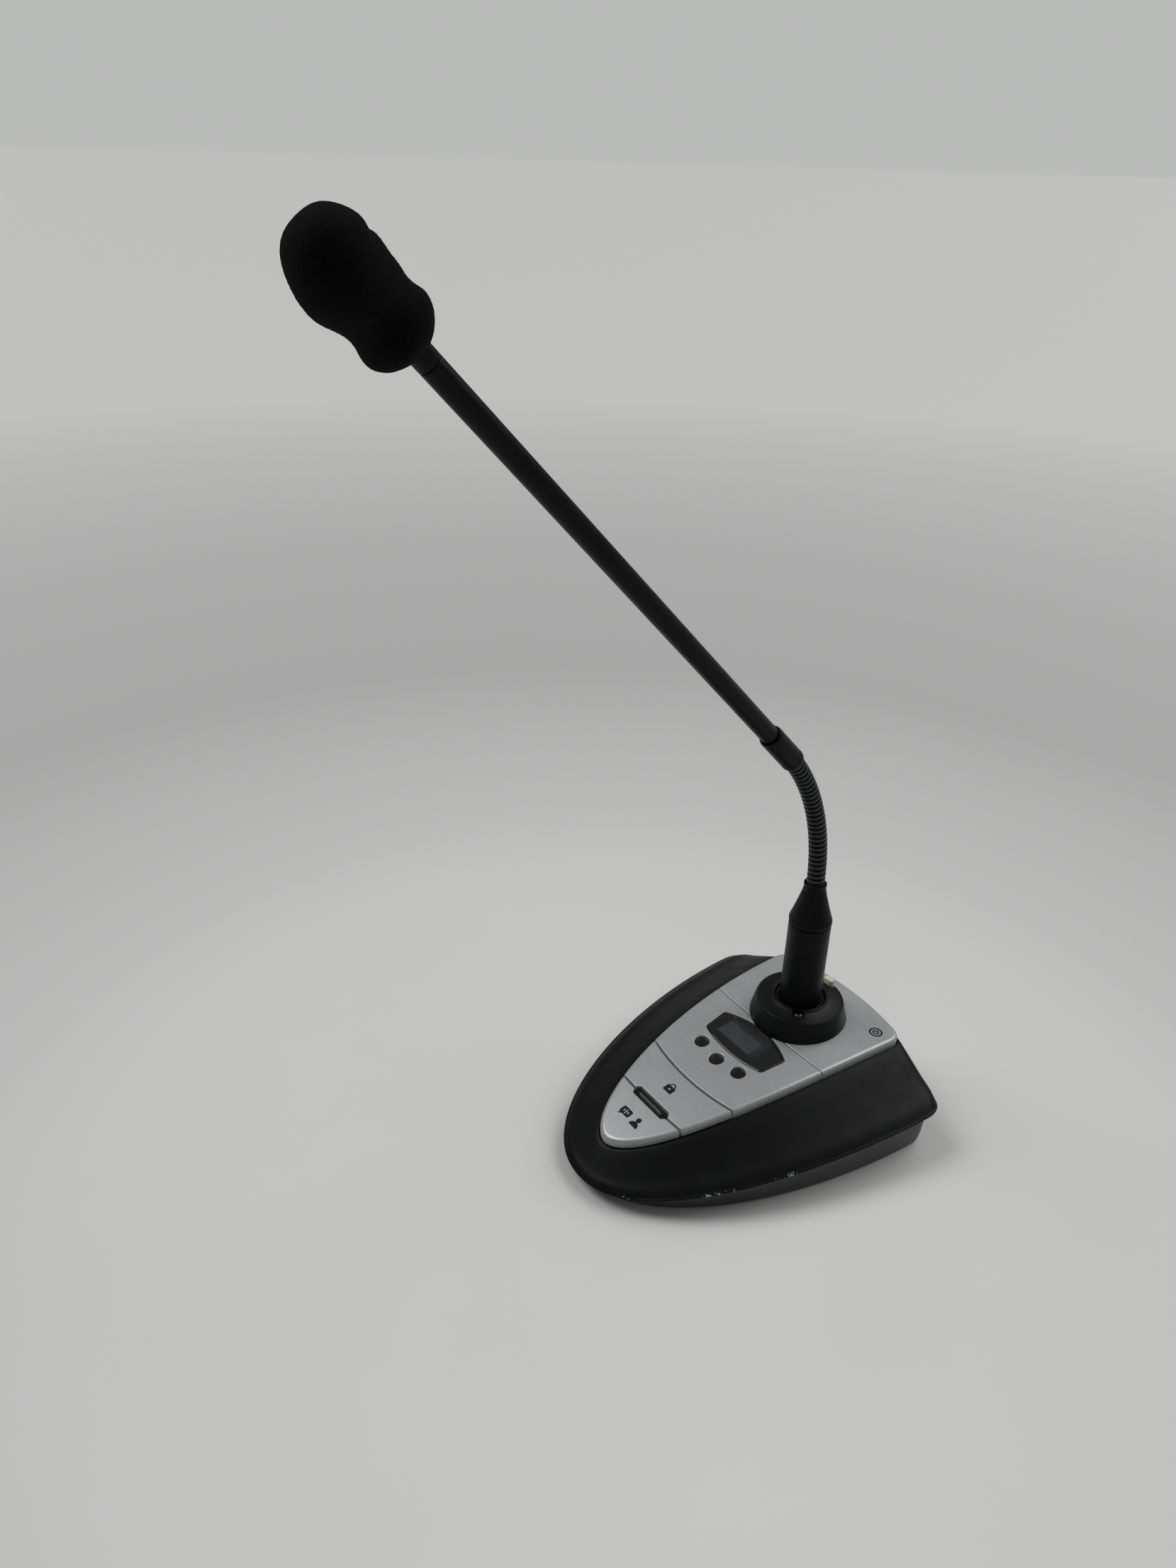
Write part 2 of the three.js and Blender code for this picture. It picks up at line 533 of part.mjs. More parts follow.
// ---------------------------------------------------------------- socket
const belowDeck = loft([ring(grown(PANEL, 25), () => 0), ring(grown(PANEL, 25), (y) => deckZ(y) + GAP)]);
const notchHalf = TAB.halfWidth + GAP;
const tabNotch = block(-notchHalf, notchHalf, TAB.front - GAP, 30, TAB.bottom - KEY_TRAVEL - GAP, ABOVE);
const screwPits = SOCKET_SCREWS.map(([x, y]) => post(2.8, 47.2, ABOVE, x, y, 12));
addPart('socket_cone', cutAll(turned([
  [CONE.bore, 30], [CONE.baseRadius + 0.6, 30], [CONE.baseRadius, 39.5], [21.2, 43], [20.2, 47.4],
  [CONE.creaseRadius, CONE.creaseZ], [14, 48.8], [CONE.rimRadius + 0.6, 49.5], [CONE.rimRadius, CONE.rimZ],
  [CONE.bore, CONE.rimZ], [CONE.bore, 30],
], 28), belowDeck, tabNotch, screwPits, socketScrewHoles), blackPlastic);

addPart('socket_body', cutAll(turned([
  [0, SOCKET.bottom], [SOCKET.radius, SOCKET.bottom], [SOCKET.radius, SOCKET.flangeBottom],
  [SOCKET.flange, SOCKET.flangeBottom], [SOCKET.flange, SOCKET.flangeTop], [SOCKET.radius, SOCKET.flangeTop],
  [SOCKET.radius, SOCKET.top], [SOCKET.bore, SOCKET.top], [SOCKET.bore, SOCKET.floor], [0, SOCKET.floor],
], 24), SOCKET_SCREWS.map(([x, y]) => post(SOCKET_SCREW_HOLE, 30, 40, x, y, 10))), blackMetal);
const pinPoints = [90, 210, 330].map((deg) => {
  const angle = THREE.MathUtils.degToRad(deg);
  return [PIN_CIRCLE * Math.cos(angle), PIN_CIRCLE * Math.sin(angle)];
});
addPart('socket_insert', cutAll(
  post(7.8, 26.1, 44.6, 0, 0, 16),
  pinPoints.map(([x, y]) => post(2, 20, ABOVE, x, y, 8)),
), softBlack);
const contactSleeve = [[0, 25], [1.7, 25], [1.7, 44], [1.4, 44], [1.4, 28], [0, 28]];
addPart('socket_contacts', addAll(
  post(6.8, 25, 25.8, 0, 0, 12),
  pinPoints.map(([x, y]) => turned(contactSleeve, 8, x, y)),
), goldMetal);
const socketScrew = [[0, 34], [1.2, 34], [1.2, 47.5], [2.3, 47.5], [2.3, 48.3], [1.4, 49.1], [0, 49.3]];
SOCKET_SCREWS.forEach(([x, y], i) => addPart(`socket_screw_${i + 1}`, turned(socketScrew, 12, x, y), brightMetal));
addPart('release_tab', prism(
  roundedRectangle(0, (TAB.front + TAB.rear) / 2, TAB.halfWidth, (TAB.rear - TAB.front) / 2, 1.2),
  TAB.bottom,
  TAB.top,
), creamPlastic);

function tubeAlong(points, radius, sides, steps) {
  const shape = new THREE.Shape();
  for (let i = 0; i < sides; i += 1) {
    const angle = (2 * Math.PI * i) / sides;
    const [x, y] = [radius * Math.cos(angle), radius * Math.sin(angle)];
    if (i === 0) shape.moveTo(x, y);
    else shape.lineTo(x, y);
  }
  const path = new THREE.CatmullRomCurve3(points.map((p) => new THREE.Vector3(...p)));
  return toSolid(new THREE.ExtrudeGeometry(shape, { extrudePath: path, steps }));
}
const wireRoute = [[0, 0, 21.6], [1, 0, 18], [9, 1, 16.4], [14, 2, 14.4], [14.4, 2, 12]];
addPart('socket_wires', tubeAlong(wireRoute, 1.4, 8, 12), softBlack);

// ---------------------------------------------------------------- plug
addPart('plug_barrel', turned([
  [PLUG_RADIUS - 0.3, PLUG_BOTTOM], [PLUG_RADIUS, PLUG_BOTTOM + 0.5], [PLUG_RADIUS, BOOT_Z - 0.15],
  [2, BOOT_Z - 0.15], [2, 57], [8.5, 57], [8.5, PLUG_BOTTOM], [PLUG_RADIUS - 0.3, PLUG_BOTTOM],
], 24), blackMetal);
addPart('plug_boot', turned([
  [CABLE_BORE, BOOT_Z + 0.15], [9.5, BOOT_Z + 0.15], [9.7, 89.5], [9.3, 92], [7.6, 98], [5.6, 105.4], [4.9, 107.4],
  [4.75, NECK_Z - LINK_GAP / 2], [CABLE_BORE, NECK_Z - LINK_GAP / 2], [CABLE_BORE, BOOT_Z + 0.15],
], 24), softBlack);
addPart('plug_insert', cutAll(
  post(8.2, 46, 54, 0, 0, 16),
  pinPoints.map(([x, y]) => post(1.5, 40, ABOVE, x, y, 8)),
), softBlack);
addPart('plug_pins', addAll(
  post(6.8, 54.3, 55.1, 0, 0, 12),
  pinPoints.map(([x, y]) => post(1.1, 31, 54.8, x, y, 8)),
), goldMetal);

// ---------------------------------------------------------------- gooseneck
// One link stands on its own z axis from a pivot at z = 0 to the next at z = LINK_PITCH.
function makeLink() {
  const low = LINK_GAP / 2;
  const high = LINK_PITCH - LINK_GAP / 2;
  const ribs = 3;
  const profile = [[CABLE_BORE, low], [GROOVE_RADIUS, low]];
  for (let i = 0; i < ribs; i += 1) {
    const middle = low + ((i + 0.5) * (high - low)) / ribs;
    profile.push([FLEX_RADIUS, middle]);
    if (i + 1 < ribs) profile.push([GROOVE_RADIUS, middle + (high - low) / ribs / 2]);
  }
  profile.push([GROOVE_RADIUS, high], [CABLE_BORE, high], [CABLE_BORE, low]);
  return turned(profile, 10);
}

const link = makeLink();
const pivot = new THREE.Vector3(0, 0, NECK_Z);
for (let i = 1; i <= LINKS; i += 1) {
  const tilt = STEM_TILT * (i / (LINKS + 1)) ** TILT_GROWTH;
  const mesh = addPart(`flex_link_${i}`, link, blackMetal);
  mesh.position.copy(pivot);
  mesh.rotation.x = tilt;
  pivot.add(new THREE.Vector3(0, -Math.sin(tilt), Math.cos(tilt)).multiplyScalar(LINK_PITCH));
}

// ---------------------------------------------------------------- stem and head, on the tilted axis
const stem = new THREE.Group();
stem.position.copy(pivot);
stem.rotation.x = STEM_TILT;
microphone.add(stem);

addPart('stem_collar', turned([
  [CABLE_BORE, LINK_GAP / 2], [4, LINK_GAP / 2], [4.9, 3], [4.9, COLLAR_LENGTH - 2.4], [4.35, COLLAR_LENGTH],
  [STEM_RADIUS + GAP, COLLAR_LENGTH], [STEM_RADIUS + GAP, STEM_SEAT], [CABLE_BORE, STEM_SEAT],
  [CABLE_BORE, LINK_GAP / 2],
], 16), blackMetal, stem);
addPart('stem_tube', turned([
  [STEM_BORE, STEM_SEAT + GAP], [STEM_RADIUS, STEM_SEAT + GAP], [STEM_RADIUS, STEM_END], [STEM_BORE, STEM_END],
  [STEM_BORE, STEM_SEAT + GAP],
], 16), blackMetal, stem);
addPart('stem_cable', post(1.3, 2, STEM_END + 2, 0, 0, 8), softBlack, stem);
addPart('capsule_housing', turned([
  [2, STEM_END + GAP], [CAPSULE_RADIUS - 1, STEM_END + GAP], [CAPSULE_RADIUS, STEM_END + 2],
  [CAPSULE_RADIUS, CAPSULE_MOUTH], [CAPSULE_BORE, CAPSULE_MOUTH], [CAPSULE_BORE, CAPSULE_FLOOR],
  [2, CAPSULE_FLOOR], [2, STEM_END + GAP],
], 16), blackMetal, stem);
const capsule = post(CAPSULE_BORE - GAP, CAPSULE_FLOOR + 4, CAPSULE_MOUTH - 1, 0, 0, 12);
addPart('mic_capsule', capsule, brightMetal, stem);
const soundHoles = [0, 60, 120, 180, 240, 300].map((deg) => {
  const angle = THREE.MathUtils.degToRad(deg);
  return post(0.9, CAPSULE_MOUTH - 1, CAPSULE_END + 8, 2.6 * Math.cos(angle), 2.6 * Math.sin(angle), 6);
});
addPart('capsule_grille', cutAll(turned([
  [4.3, CAPSULE_MOUTH + GAP], [CAPSULE_RADIUS, CAPSULE_MOUTH + GAP], [CAPSULE_RADIUS, CAPSULE_END - 3],
  [4.2, CAPSULE_END - 0.8],
  [2.4, CAPSULE_END], [0, CAPSULE_END], [0, CAPSULE_END - 1.2], [3.6, CAPSULE_END - 2], [4.3, CAPSULE_END - 4],
  [4.3, CAPSULE_MOUTH + GAP],
], 16), soundHoles), blackMetal, stem);

// The foam: a rear bulb, a waist and a fuller head, with a bore for the capsule.
const foamOutline = new THREE.SplineCurve([
  [4.4, 0.4], [7.4, 0.9], [9.8, 3], [11.8, 7.6], [11.7, 11], [10.8, 15.4], [11, 19], [12.2, 23],
  [12.8, 27.6], [12.5, 32], [11.3, 37], [8.6, 41.6], [4.6, 45], [0, FOAM_LENGTH],
].map(([r, z]) => new THREE.Vector2(r, FOAM_START + z)));
const foamBore = CAPSULE_RADIUS + 0.4;
addPart('windscreen', turned([
  [0, CAPSULE_END + 0.6], [foamBore, CAPSULE_END + 0.6], [foamBore, FOAM_START + 0.2],
  ...foamOutline.getPoints(16).map((p) => [Math.max(p.x, 0), p.y]).slice(1),
], 18), foamBlack, stem);

export default microphone;
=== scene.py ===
"""Looks for the gooseneck podium microphone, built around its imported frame.

Lengths here are millimetres from the socket's axis at table height, unless a name says otherwise.
"""
import json
import math

import bmesh
import bpy
import numpy as np
from mathutils import Matrix, Vector, noise
from mathutils.geometry import delaunay_2d_cdt


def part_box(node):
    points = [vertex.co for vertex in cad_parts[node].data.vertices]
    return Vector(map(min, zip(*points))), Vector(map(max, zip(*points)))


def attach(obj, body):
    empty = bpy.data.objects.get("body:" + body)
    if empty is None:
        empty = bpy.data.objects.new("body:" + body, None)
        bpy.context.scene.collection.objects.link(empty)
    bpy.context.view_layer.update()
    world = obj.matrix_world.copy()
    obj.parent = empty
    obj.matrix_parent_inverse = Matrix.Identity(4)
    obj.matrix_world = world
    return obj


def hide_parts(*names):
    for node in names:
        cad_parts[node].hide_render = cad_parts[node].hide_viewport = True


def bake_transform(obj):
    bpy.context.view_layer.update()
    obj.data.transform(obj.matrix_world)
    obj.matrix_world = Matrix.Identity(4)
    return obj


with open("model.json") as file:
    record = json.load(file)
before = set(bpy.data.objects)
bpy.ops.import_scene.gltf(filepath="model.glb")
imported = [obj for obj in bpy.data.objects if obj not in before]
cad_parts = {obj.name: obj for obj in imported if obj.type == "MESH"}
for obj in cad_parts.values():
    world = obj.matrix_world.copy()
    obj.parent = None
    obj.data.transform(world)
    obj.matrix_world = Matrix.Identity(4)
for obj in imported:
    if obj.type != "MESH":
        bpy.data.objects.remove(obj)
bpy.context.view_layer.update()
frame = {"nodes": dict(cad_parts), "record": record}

MM = 0.001
barrel_low, barrel_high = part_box("plug_barrel")
SOCKET_Y = (barrel_low.y + barrel_high.y) / 2      # metres: the socket axis in the row frame

# ------------------------------------------------------------------ driving sizes, as in the CAD
DECK = dict(height=39.1, slope=0.037, droop=0.00115)
EDGE = dict(height=19.8, slope=0.037, droop=0.0006)
PANEL = dict(nose=-108.8, rear=26.4, half=37.5, reach=0.87, along=2.08, across=1.89, bow=6.1, corner=4.5)
SKIRT = dict(nose=-123.9, rear=27, half=69.4, reach=1, along=1.86, across=2.09, bow=6, corner=11)
WALL_OUT = 1.7
WELL_OUT = 2.1
WELL_RIM = 3.6
WELL_FLOOR = 6
PLATE_THICK = 2.2
FIXED_DROP = 5.7
KEY_DROP = 3.5
SEAM_TALK = dict(y=-85.5, bow=0.7, half=21, gap=1)
SEAM_LOCK = dict(y=-62.9, bow=3.2, half=27.5, gap=1)
SEAM_REAR = dict(y=-18.6, bow=0.6, half=35, gap=0.4)
LED = dict(y=-85.8, recess=(11.1, 2.35), holder=(10.7, 1.95), bar=(8.9, 1.1))
WINDOW = dict(
    rear_x=20.5, rear_y=-26.7, rear_bow=5.3, front_x=18.8, front_y=-39.9, front_bow=2.5, corner=1.6,
)
LCD = dict(left=-15.4, right=10.0, front=-36.9, rear=-25.6)
BUTTONS = ("set_button_left", "set_button_middle", "set_button_right")
LEGEND_SCALE = 1.45
POWER_MARK = (30.4, 20.0)
LOCK_MARK = (-0.1, -74.6)
TALK_MARK = (-3.4, -96.9)
BUTTON_RADIUS = 3.0
BUTTON_HOLE = 3.4
BUTTON_RECESS = 0.7
CONE_CREASE = (19.7, 48.2)
CONE_RIM = (12.2, 50)
CONE_BORE = 11.5
SOCKET_SCREWS = dict(socket_screw_1=(9.4, -9.9), socket_screw_2=(-9.4, 9.9))
WORN = (
    (-115.8, -114.2), (-91, -78), (-67, -65.2), (-60.5, -52.5),
)     # chipped stretches of the edge, along y
JACK = (-26, 25)                # the power inlet's x and height
SWITCH_SLOT = dict(x=(24.3, 33.4), z=(23.5, 28.5))
FEET = ((46, 12), (-46, 12), (30, -84), (-30, -84))
SCREW_POINTS = ((50, -6), (-50, -6), (41, -52), (-41, -52))
TAB = dict(half=2.6, front=17.3, rear=20.6, bottom=46, top=50.9)
NECK_Z = 112
LINKS = 8
PITCH = 8.85
STEM_TILT = math.radians(44)
TILT_GROWTH = 1.25
FLEX_RADIUS = 4
RIB_PITCH = PITCH / 3.5
STEM_END = 226.4
FOAM_START = 229.6

# Light levels: the surround's dim edge and bright top, the sky that the camera
# sees, and the two lamps.
SURROUND = 0.06
OVERHEAD = 0.3
BACKDROP = 0.5
KEY = dict(energy=1.25, spread=30, toward=(-0.48, -0.36, 0.80))
FILL = dict(energy=1.45, spread=50, toward=(0.1, 0.66, 0.74))


# ------------------------------------------------------------------ camera, lights and floor
def make_camera():
    """A phone's wide view from the talker's right, tilted down to the table."""
    azimuth, elevation, roll = (math.radians(a) for a in (54.61, 28.26, 1.6))
    level = math.cos(elevation)
    back = Vector((math.sin(azimuth) * level, -math.cos(azimuth) * level, math.sin(elevation)))
    right = Vector((0, 0, 1)).cross(back).normalized()
    up = back.cross(right)
    axes = Matrix((right, up, back)).transposed() @ Matrix.Rotation(roll, 3, "Z")
    data = bpy.data.cameras.new("view")
    data.sensor_width = 36
    data.lens = 27.0
    data.clip_start = 0.01
    camera = bpy.data.objects.new("view", data)
    camera.matrix_world = Matrix.Translation((0.29698, SOCKET_Y - 0.33512, 0.39178)) @ axes.to_4x4()
    bpy.context.scene.collection.objects.link(camera)
    bpy.context.scene.camera = camera


def make_lamp(name, energy, spread, toward):
    """A distant lamp in the given direction, as wide as its spread in degrees."""
    data = bpy.data.lights.new(name, "SUN")
    data.energy = energy
    data.angle = math.radians(spread)
    lamp = bpy.data.objects.new(name, data)
    lamp.rotation_euler = Vector(toward).to_track_quat("Z", "Y").to_euler()
    bpy.context.scene.collection.objects.link(lamp)


def make_stage():
    """A pale studio: a dim surround, a key from the talker's left, and a broad lamp above and behind."""
    bpy.context.scene.view_settings.view_transform = "Standard"
    world = bpy.data.worlds.new("studio")
    bpy.context.scene.world = world
    world.use_nodes = True
    nodes, links = world.node_tree.nodes, world.node_tree.links
    split = nodes.new("ShaderNodeSeparateXYZ")
    links.new(nodes.new("ShaderNodeTexCoord").outputs["Generated"], split.inputs["Vector"])
    sky = nodes.new("ShaderNodeMapRange")
    for key, value in (("From Min", -0.05), ("From Max", 0.95), ("To Min", SURROUND), ("To Max", OVERHEAD)):
        sky.inputs[key].default_value = value
    links.new(split.outputs["Z"], sky.inputs["Value"])
    path = nodes.new("ShaderNodeLightPath")
    seen = nodes.new("ShaderNodeMix")
    seen.inputs[3].default_value = BACKDROP
    links.new(path.outputs["Is Camera Ray"], seen.inputs[0])
    links.new(sky.outputs["Result"], seen.inputs[2])
    links.new(seen.outputs[0], nodes["Background"].inputs["Strength"])
    nodes["Background"].inputs["Color"].default_value = (0.985, 1.0, 0.985, 1)
    make_lamp("key", **KEY)
    make_lamp("fill", **FILL)
    bpy.ops.mesh.primitive_circle_add(vertices=96, radius=60, fill_type="NGON", location=(0, 0, 0))
    floor = bpy.context.object
    floor.name = "floor"
    floor.data.materials.append(floor_material())


# ------------------------------------------------------------------ materials
class Shader:
    """A small wrapper that adds nodes to one Principled material and links them by name."""

    def __init__(self, name, **inputs):
        self.material = bpy.data.materials.new(name)
        self.material.use_nodes = True
        self.tree = self.material.node_tree
        self.bsdf = self.tree.nodes["Principled BSDF"]
        for key, value in inputs.items():
            self.bsdf.inputs[key.replace("_", " ")].default_value = value
        self.position = self.add("ShaderNodeTexCoord").outputs["Object"]

    def add(self, kind, **settings):
        node = self.tree.nodes.new(kind)
        for key, value in settings.items():
            setattr(node, key, value)
        return node

    def link(self, source, target):
        self.tree.links.new(source, target)

    def noise(self, scale, detail=3.0, roughness=0.5, stretch=None):
        node = self.add("ShaderNodeTexNoise")
        node.inputs["Scale"].default_value = scale
        node.inputs["Detail"].default_value = detail
        node.inputs["Roughness"].default_value = roughness
        vector = self.position
        if stretch:
            mapping = self.add("ShaderNodeMapping")
            mapping.inputs["Scale"].default_value = stretch
            self.link(vector, mapping.inputs["Vector"])
            vector = mapping.outputs["Vector"]
        self.link(vector, node.inputs["Vector"])
        return node.outputs["Fac"]

    def ramp(self, factor, stops):
        node = self.add("ShaderNodeValToRGB")
        elements = node.color_ramp.elements
        for i, (place, color) in enumerate(stops):
            element = elements[i] if i < 2 else elements.new(place)
            element.position = place
            element.color = (*color, 1)
        self.link(factor, node.inputs["Fac"])
        return node.outputs["Color"]

    def spread(self, factor, low, high, out_low, out_high):
        node = self.add("ShaderNodeMapRange")
        for key, value in (
            ("From Min", low), ("From Max", high), ("To Min", out_low), ("To Max", out_high),
        ):
            node.inputs[key].default_value = value
        self.link(factor, node.inputs["Value"])
        return node.outputs["Result"]

    def mix(self, factor, a, b):
        node = self.add("ShaderNodeMix", data_type="RGBA")
        self.link(factor, node.inputs["Factor"])
        for socket, value in ((node.inputs[6], a), (node.inputs[7], b)):
            if isinstance(value, tuple):
                socket.default_value = (*value, 1)
            else:
                self.link(value, socket)
        return node.outputs[2]

    def times(self, a, b):
        node = self.add("ShaderNodeMath", operation="MULTIPLY")
        self.link(a, node.inputs[0])
        self.link(b, node.inputs[1])
        return node.outputs[0]

    def bump(self, height, distance, strength=1.0):
        node = self.add("ShaderNodeBump")
        node.inputs["Distance"].default_value = distance
        node.inputs["Strength"].default_value = strength
        self.link(height, node.inputs["Height"])
        before = self.bsdf.inputs["Normal"]
        if before.is_linked:
            self.link(before.links[0].from_socket, node.inputs["Normal"])
        self.link(node.outputs["Normal"], before)

    def color(self, socket):
        self.link(socket, self.bsdf.inputs["Base Color"])

    def roughness(self, socket):
        self.link(socket, self.bsdf.inputs["Roughness"])


def floor_material():
    """A pale table top, with a faint mottle; away from the object its tone is painted shade, falling to a
    darker grey about half a metre out and rising again beyond, for the room's light falling off.
    """
    s = Shader("pale_floor", Roughness=0.7, Specular_IOR_Level=0.2)
    near = s.ramp(s.noise(9, 4), [(0.3, (0.605, 0.607, 0.60)), (0.7, (0.625, 0.627, 0.62))])
    reach = s.add("ShaderNodeVectorMath", operation="LENGTH")
    s.link(s.position, reach.inputs[0])
    away = s.spread(reach.outputs["Value"], 0, 2, 0, 1)
    # Painted shade: a darker dip about half a metre out, paler again at two metres.
    distant_tone_with_painted_shade = s.ramp(
        away,
        [
            (0.12, (0.58, 0.583, 0.577)), (0.28, (0.43, 0.433, 0.428)),
            (0.5, (0.47, 0.473, 0.468)), (0.9, (0.6, 0.605, 0.595)),
        ],
    )
    s.color(s.mix(s.spread(reach.outputs["Value"], 0.16, 0.3, 0, 1), near, distant_tone_with_painted_shade))
    return s.material


def silver_paint():
    """Metallic paint: a grey binder with fine bright flakes and a faint soft coat."""
    s = Shader("silver_paint", Metallic=0.42, Coat_Weight=0.15, Coat_Roughness=0.25)
    tint = s.ramp(s.noise(70, 2), [(0.35, (0.325, 0.342, 0.342)), (0.65, (0.35, 0.367, 0.367))])
    flakes = s.add("ShaderNodeTexVoronoi")
    flakes.inputs["Scale"].default_value = 5200
    s.link(s.position, flakes.inputs["Vector"])
    grey = s.add("ShaderNodeRGBToBW")
    s.link(flakes.outputs["Color"], grey.inputs["Color"])
    s.color(s.mix(s.spread(grey.outputs["Val"], 0.62, 0.95, 0, 0.4), tint, (0.66, 0.68, 0.68)))
    s.roughness(s.spread(grey.outputs["Val"], 0, 1, 0.3, 0.46))
    s.bump(grey.outputs["Val"], 0.00002, 0.35)
    return s.material


def moulded_black(name, base=0.0035, rough=0.42, grain=2600, depth=0.00003, worn=False, gleam=0.13):
    """Satin black plastic with a fine spark-eroded grain, handling marks, and chips where an edge is worn."""
    s = Shader(name, Specular_IOR_Level=gleam)
    dark = (base * 0.86, base * 0.9, base * 0.93)
    light = (base * 1.22, base * 1.3, base * 1.34)
    color = s.ramp(s.noise(45, 4), [(0.35, dark), (0.65, light)])
    if worn:
        wear = s.add("ShaderNodeAttribute", attribute_name="wear").outputs["Fac"]
        broken = s.spread(s.noise(1100, 3, 0.65), 0.53, 0.56, 0, 1)
        patches = s.spread(s.noise(160, 2), 0.45, 0.5, 0, 1)
        color = s.mix(s.times(wear, s.times(broken, patches)), color, (0.6, 0.61, 0.61))
    s.color(color)
    s.roughness(s.spread(s.noise(120, 5), 0.3, 0.7, rough - 0.05, rough + 0.06))
    s.bump(s.noise(grain, 2), depth, 0.5)
    return s.material


def painted_metal(name, base=0.0022, rough=0.4):
    """Satin black paint on a metal tube, with a slow drift of tone and a few tiny chips."""
    s = Shader(name, Specular_IOR_Level=0.13)
    color = s.ramp(
        s.noise(60, 4),
        [(0.3, (base * 0.85, base * 0.95, base)), (0.7, (base * 1.2, base * 1.32, base * 1.36))],
    )
    chips = s.spread(s.noise(420, 2, 0.6), 0.76, 0.775, 0, 0.5)
    s.color(s.mix(chips, color, (0.1, 0.1, 0.1)))
    s.roughness(s.spread(s.noise(150, 4), 0.3, 0.7, rough - 0.05, rough + 0.07))
    s.bump(s.noise(1800, 2), 0.00002, 0.35)
    return s.material


def flex_metal():
    """The gooseneck's satin black wire, with painted shade in the narrow grooves between its turns: there the
    colour is near-black and the specular reflection is taken out.
    """
    s = Shader("flex_metal")
    groove = s.add("ShaderNodeAttribute", attribute_name="groove").outputs["Fac"]
    wire = s.ramp(s.noise(60, 4), [(0.3, (0.005, 0.006, 0.0065)), (0.7, (0.0075, 0.009, 0.0095))])
    # Painted shade: where the groove attribute is 1, the wire is coloured near-black.
    s.color(s.mix(groove, wire, (0.0003, 0.0003, 0.0003)))
    # The painted shade also takes the specular reflection out of the grooves.
    s.link(s.spread(groove, 0, 1, 0.38, 0), s.bsdf.inputs["Specular IOR Level"])
    s.roughness(s.spread(s.noise(150, 4), 0.3, 0.7, 0.32, 0.42))
    s.bump(s.noise(1800, 2), 0.00001, 0.3)
    return s.material


def foam_black():
    """Open-cell foam under a fine flock: light is lost in it, with a few pale specks of dust."""
    s = Shader("foam_black", Roughness=1.0, Specular_IOR_Level=0.06, Sheen_Weight=0.03, Sheen_Roughness=0.5)
    cells = s.noise(2300, 4, 0.7)
    color = s.ramp(cells, [(0.35, (0.0008, 0.0008, 0.0009)), (0.75, (0.0035, 0.0037, 0.004))])
    dust = s.times(s.spread(s.noise(520, 2), 0.70, 0.76, 0, 0.5), s.spread(s.noise(70, 2), 0.5, 0.62, 0, 1))
    s.color(s.mix(dust, color, (0.05, 0.055, 0.058)))
    s.bump(cells, 0.0006, 1.0)
    s.bump(s.noise(420, 3), 0.0005, 0.6)
    return s.material


def plain(name, color, rough, metal=0.0, grain=1500, depth=0.00002, vary=0.12, **inputs):
    """A simple material whose colour and roughness drift a little over the part."""
    s = Shader(name, Metallic=metal, **inputs)
    low = tuple(c * (1 - vary) for c in color)
    high = tuple(min(c * (1 + vary), 1) for c in color)
    s.color(s.ramp(s.noise(90, 4), [(0.35, low), (0.65, high)]))
    s.roughness(s.spread(s.noise(200, 4), 0.3, 0.7, rough * 0.88, min(rough * 1.12, 1)))
    s.bump(s.noise(grain, 2), depth, 0.4)
    return s.material


def circuit_board():
    """Green solder mask with pale tracks and pads."""
    s = Shader("circuit_board", Roughness=0.4)
    cells = s.add("ShaderNodeTexVoronoi", distance="MANHATTAN", feature="DISTANCE_TO_EDGE")
    cells.inputs["Scale"].default_value = 230
    s.link(s.position, cells.inputs["Vector"])
    tracks = s.spread(cells.outputs["Distance"], 0.03, 0.05, 1, 0)
    s.color(s.mix(tracks, (0.012, 0.095, 0.035), (0.06, 0.24, 0.10)))
    return s.material


def lcd_glass():
    """An unlit display: grey-green glass, with a painted shadow of the frame as a dark violet band along the
    rear and right edges and a narrow one at the left.
    """
    s = Shader("lcd_glass", Roughness=0.1, Specular_IOR_Level=0.2, Coat_Weight=0.9, Coat_Roughness=0.03)
    split = s.add("ShaderNodeSeparateXYZ")
    s.link(s.position, split.inputs["Vector"])
    # Masks for the painted shadow of the frame along the screen's left, right and rear edges.
    left = s.spread(split.outputs["X"], (LCD["left"] + 0.9) * MM, (LCD["left"] + 2.0) * MM, 0, 1)
    right = s.spread(split.outputs["X"], (LCD["right"] - 4.2) * MM, (LCD["right"] - 2.6) * MM, 1, 0)
    rear_y = SOCKET_Y + LCD["rear"] * MM
    rear = s.spread(split.outputs["Y"], rear_y - 3.0 * MM, rear_y - 1.7 * MM, 1, 0)
    clear_of_painted_shadow = s.times(s.times(left, right), rear)
    green = s.ramp(s.noise(160, 3), [(0.3, (0.026, 0.038, 0.038)), (0.7, (0.034, 0.049, 0.048))])
    # Dark violet outside the masks: painted shadow of the frame.
    s.color(s.mix(clear_of_painted_shadow, (0.008, 0.008, 0.013), green))
    return s.material


MATERIALS = {}


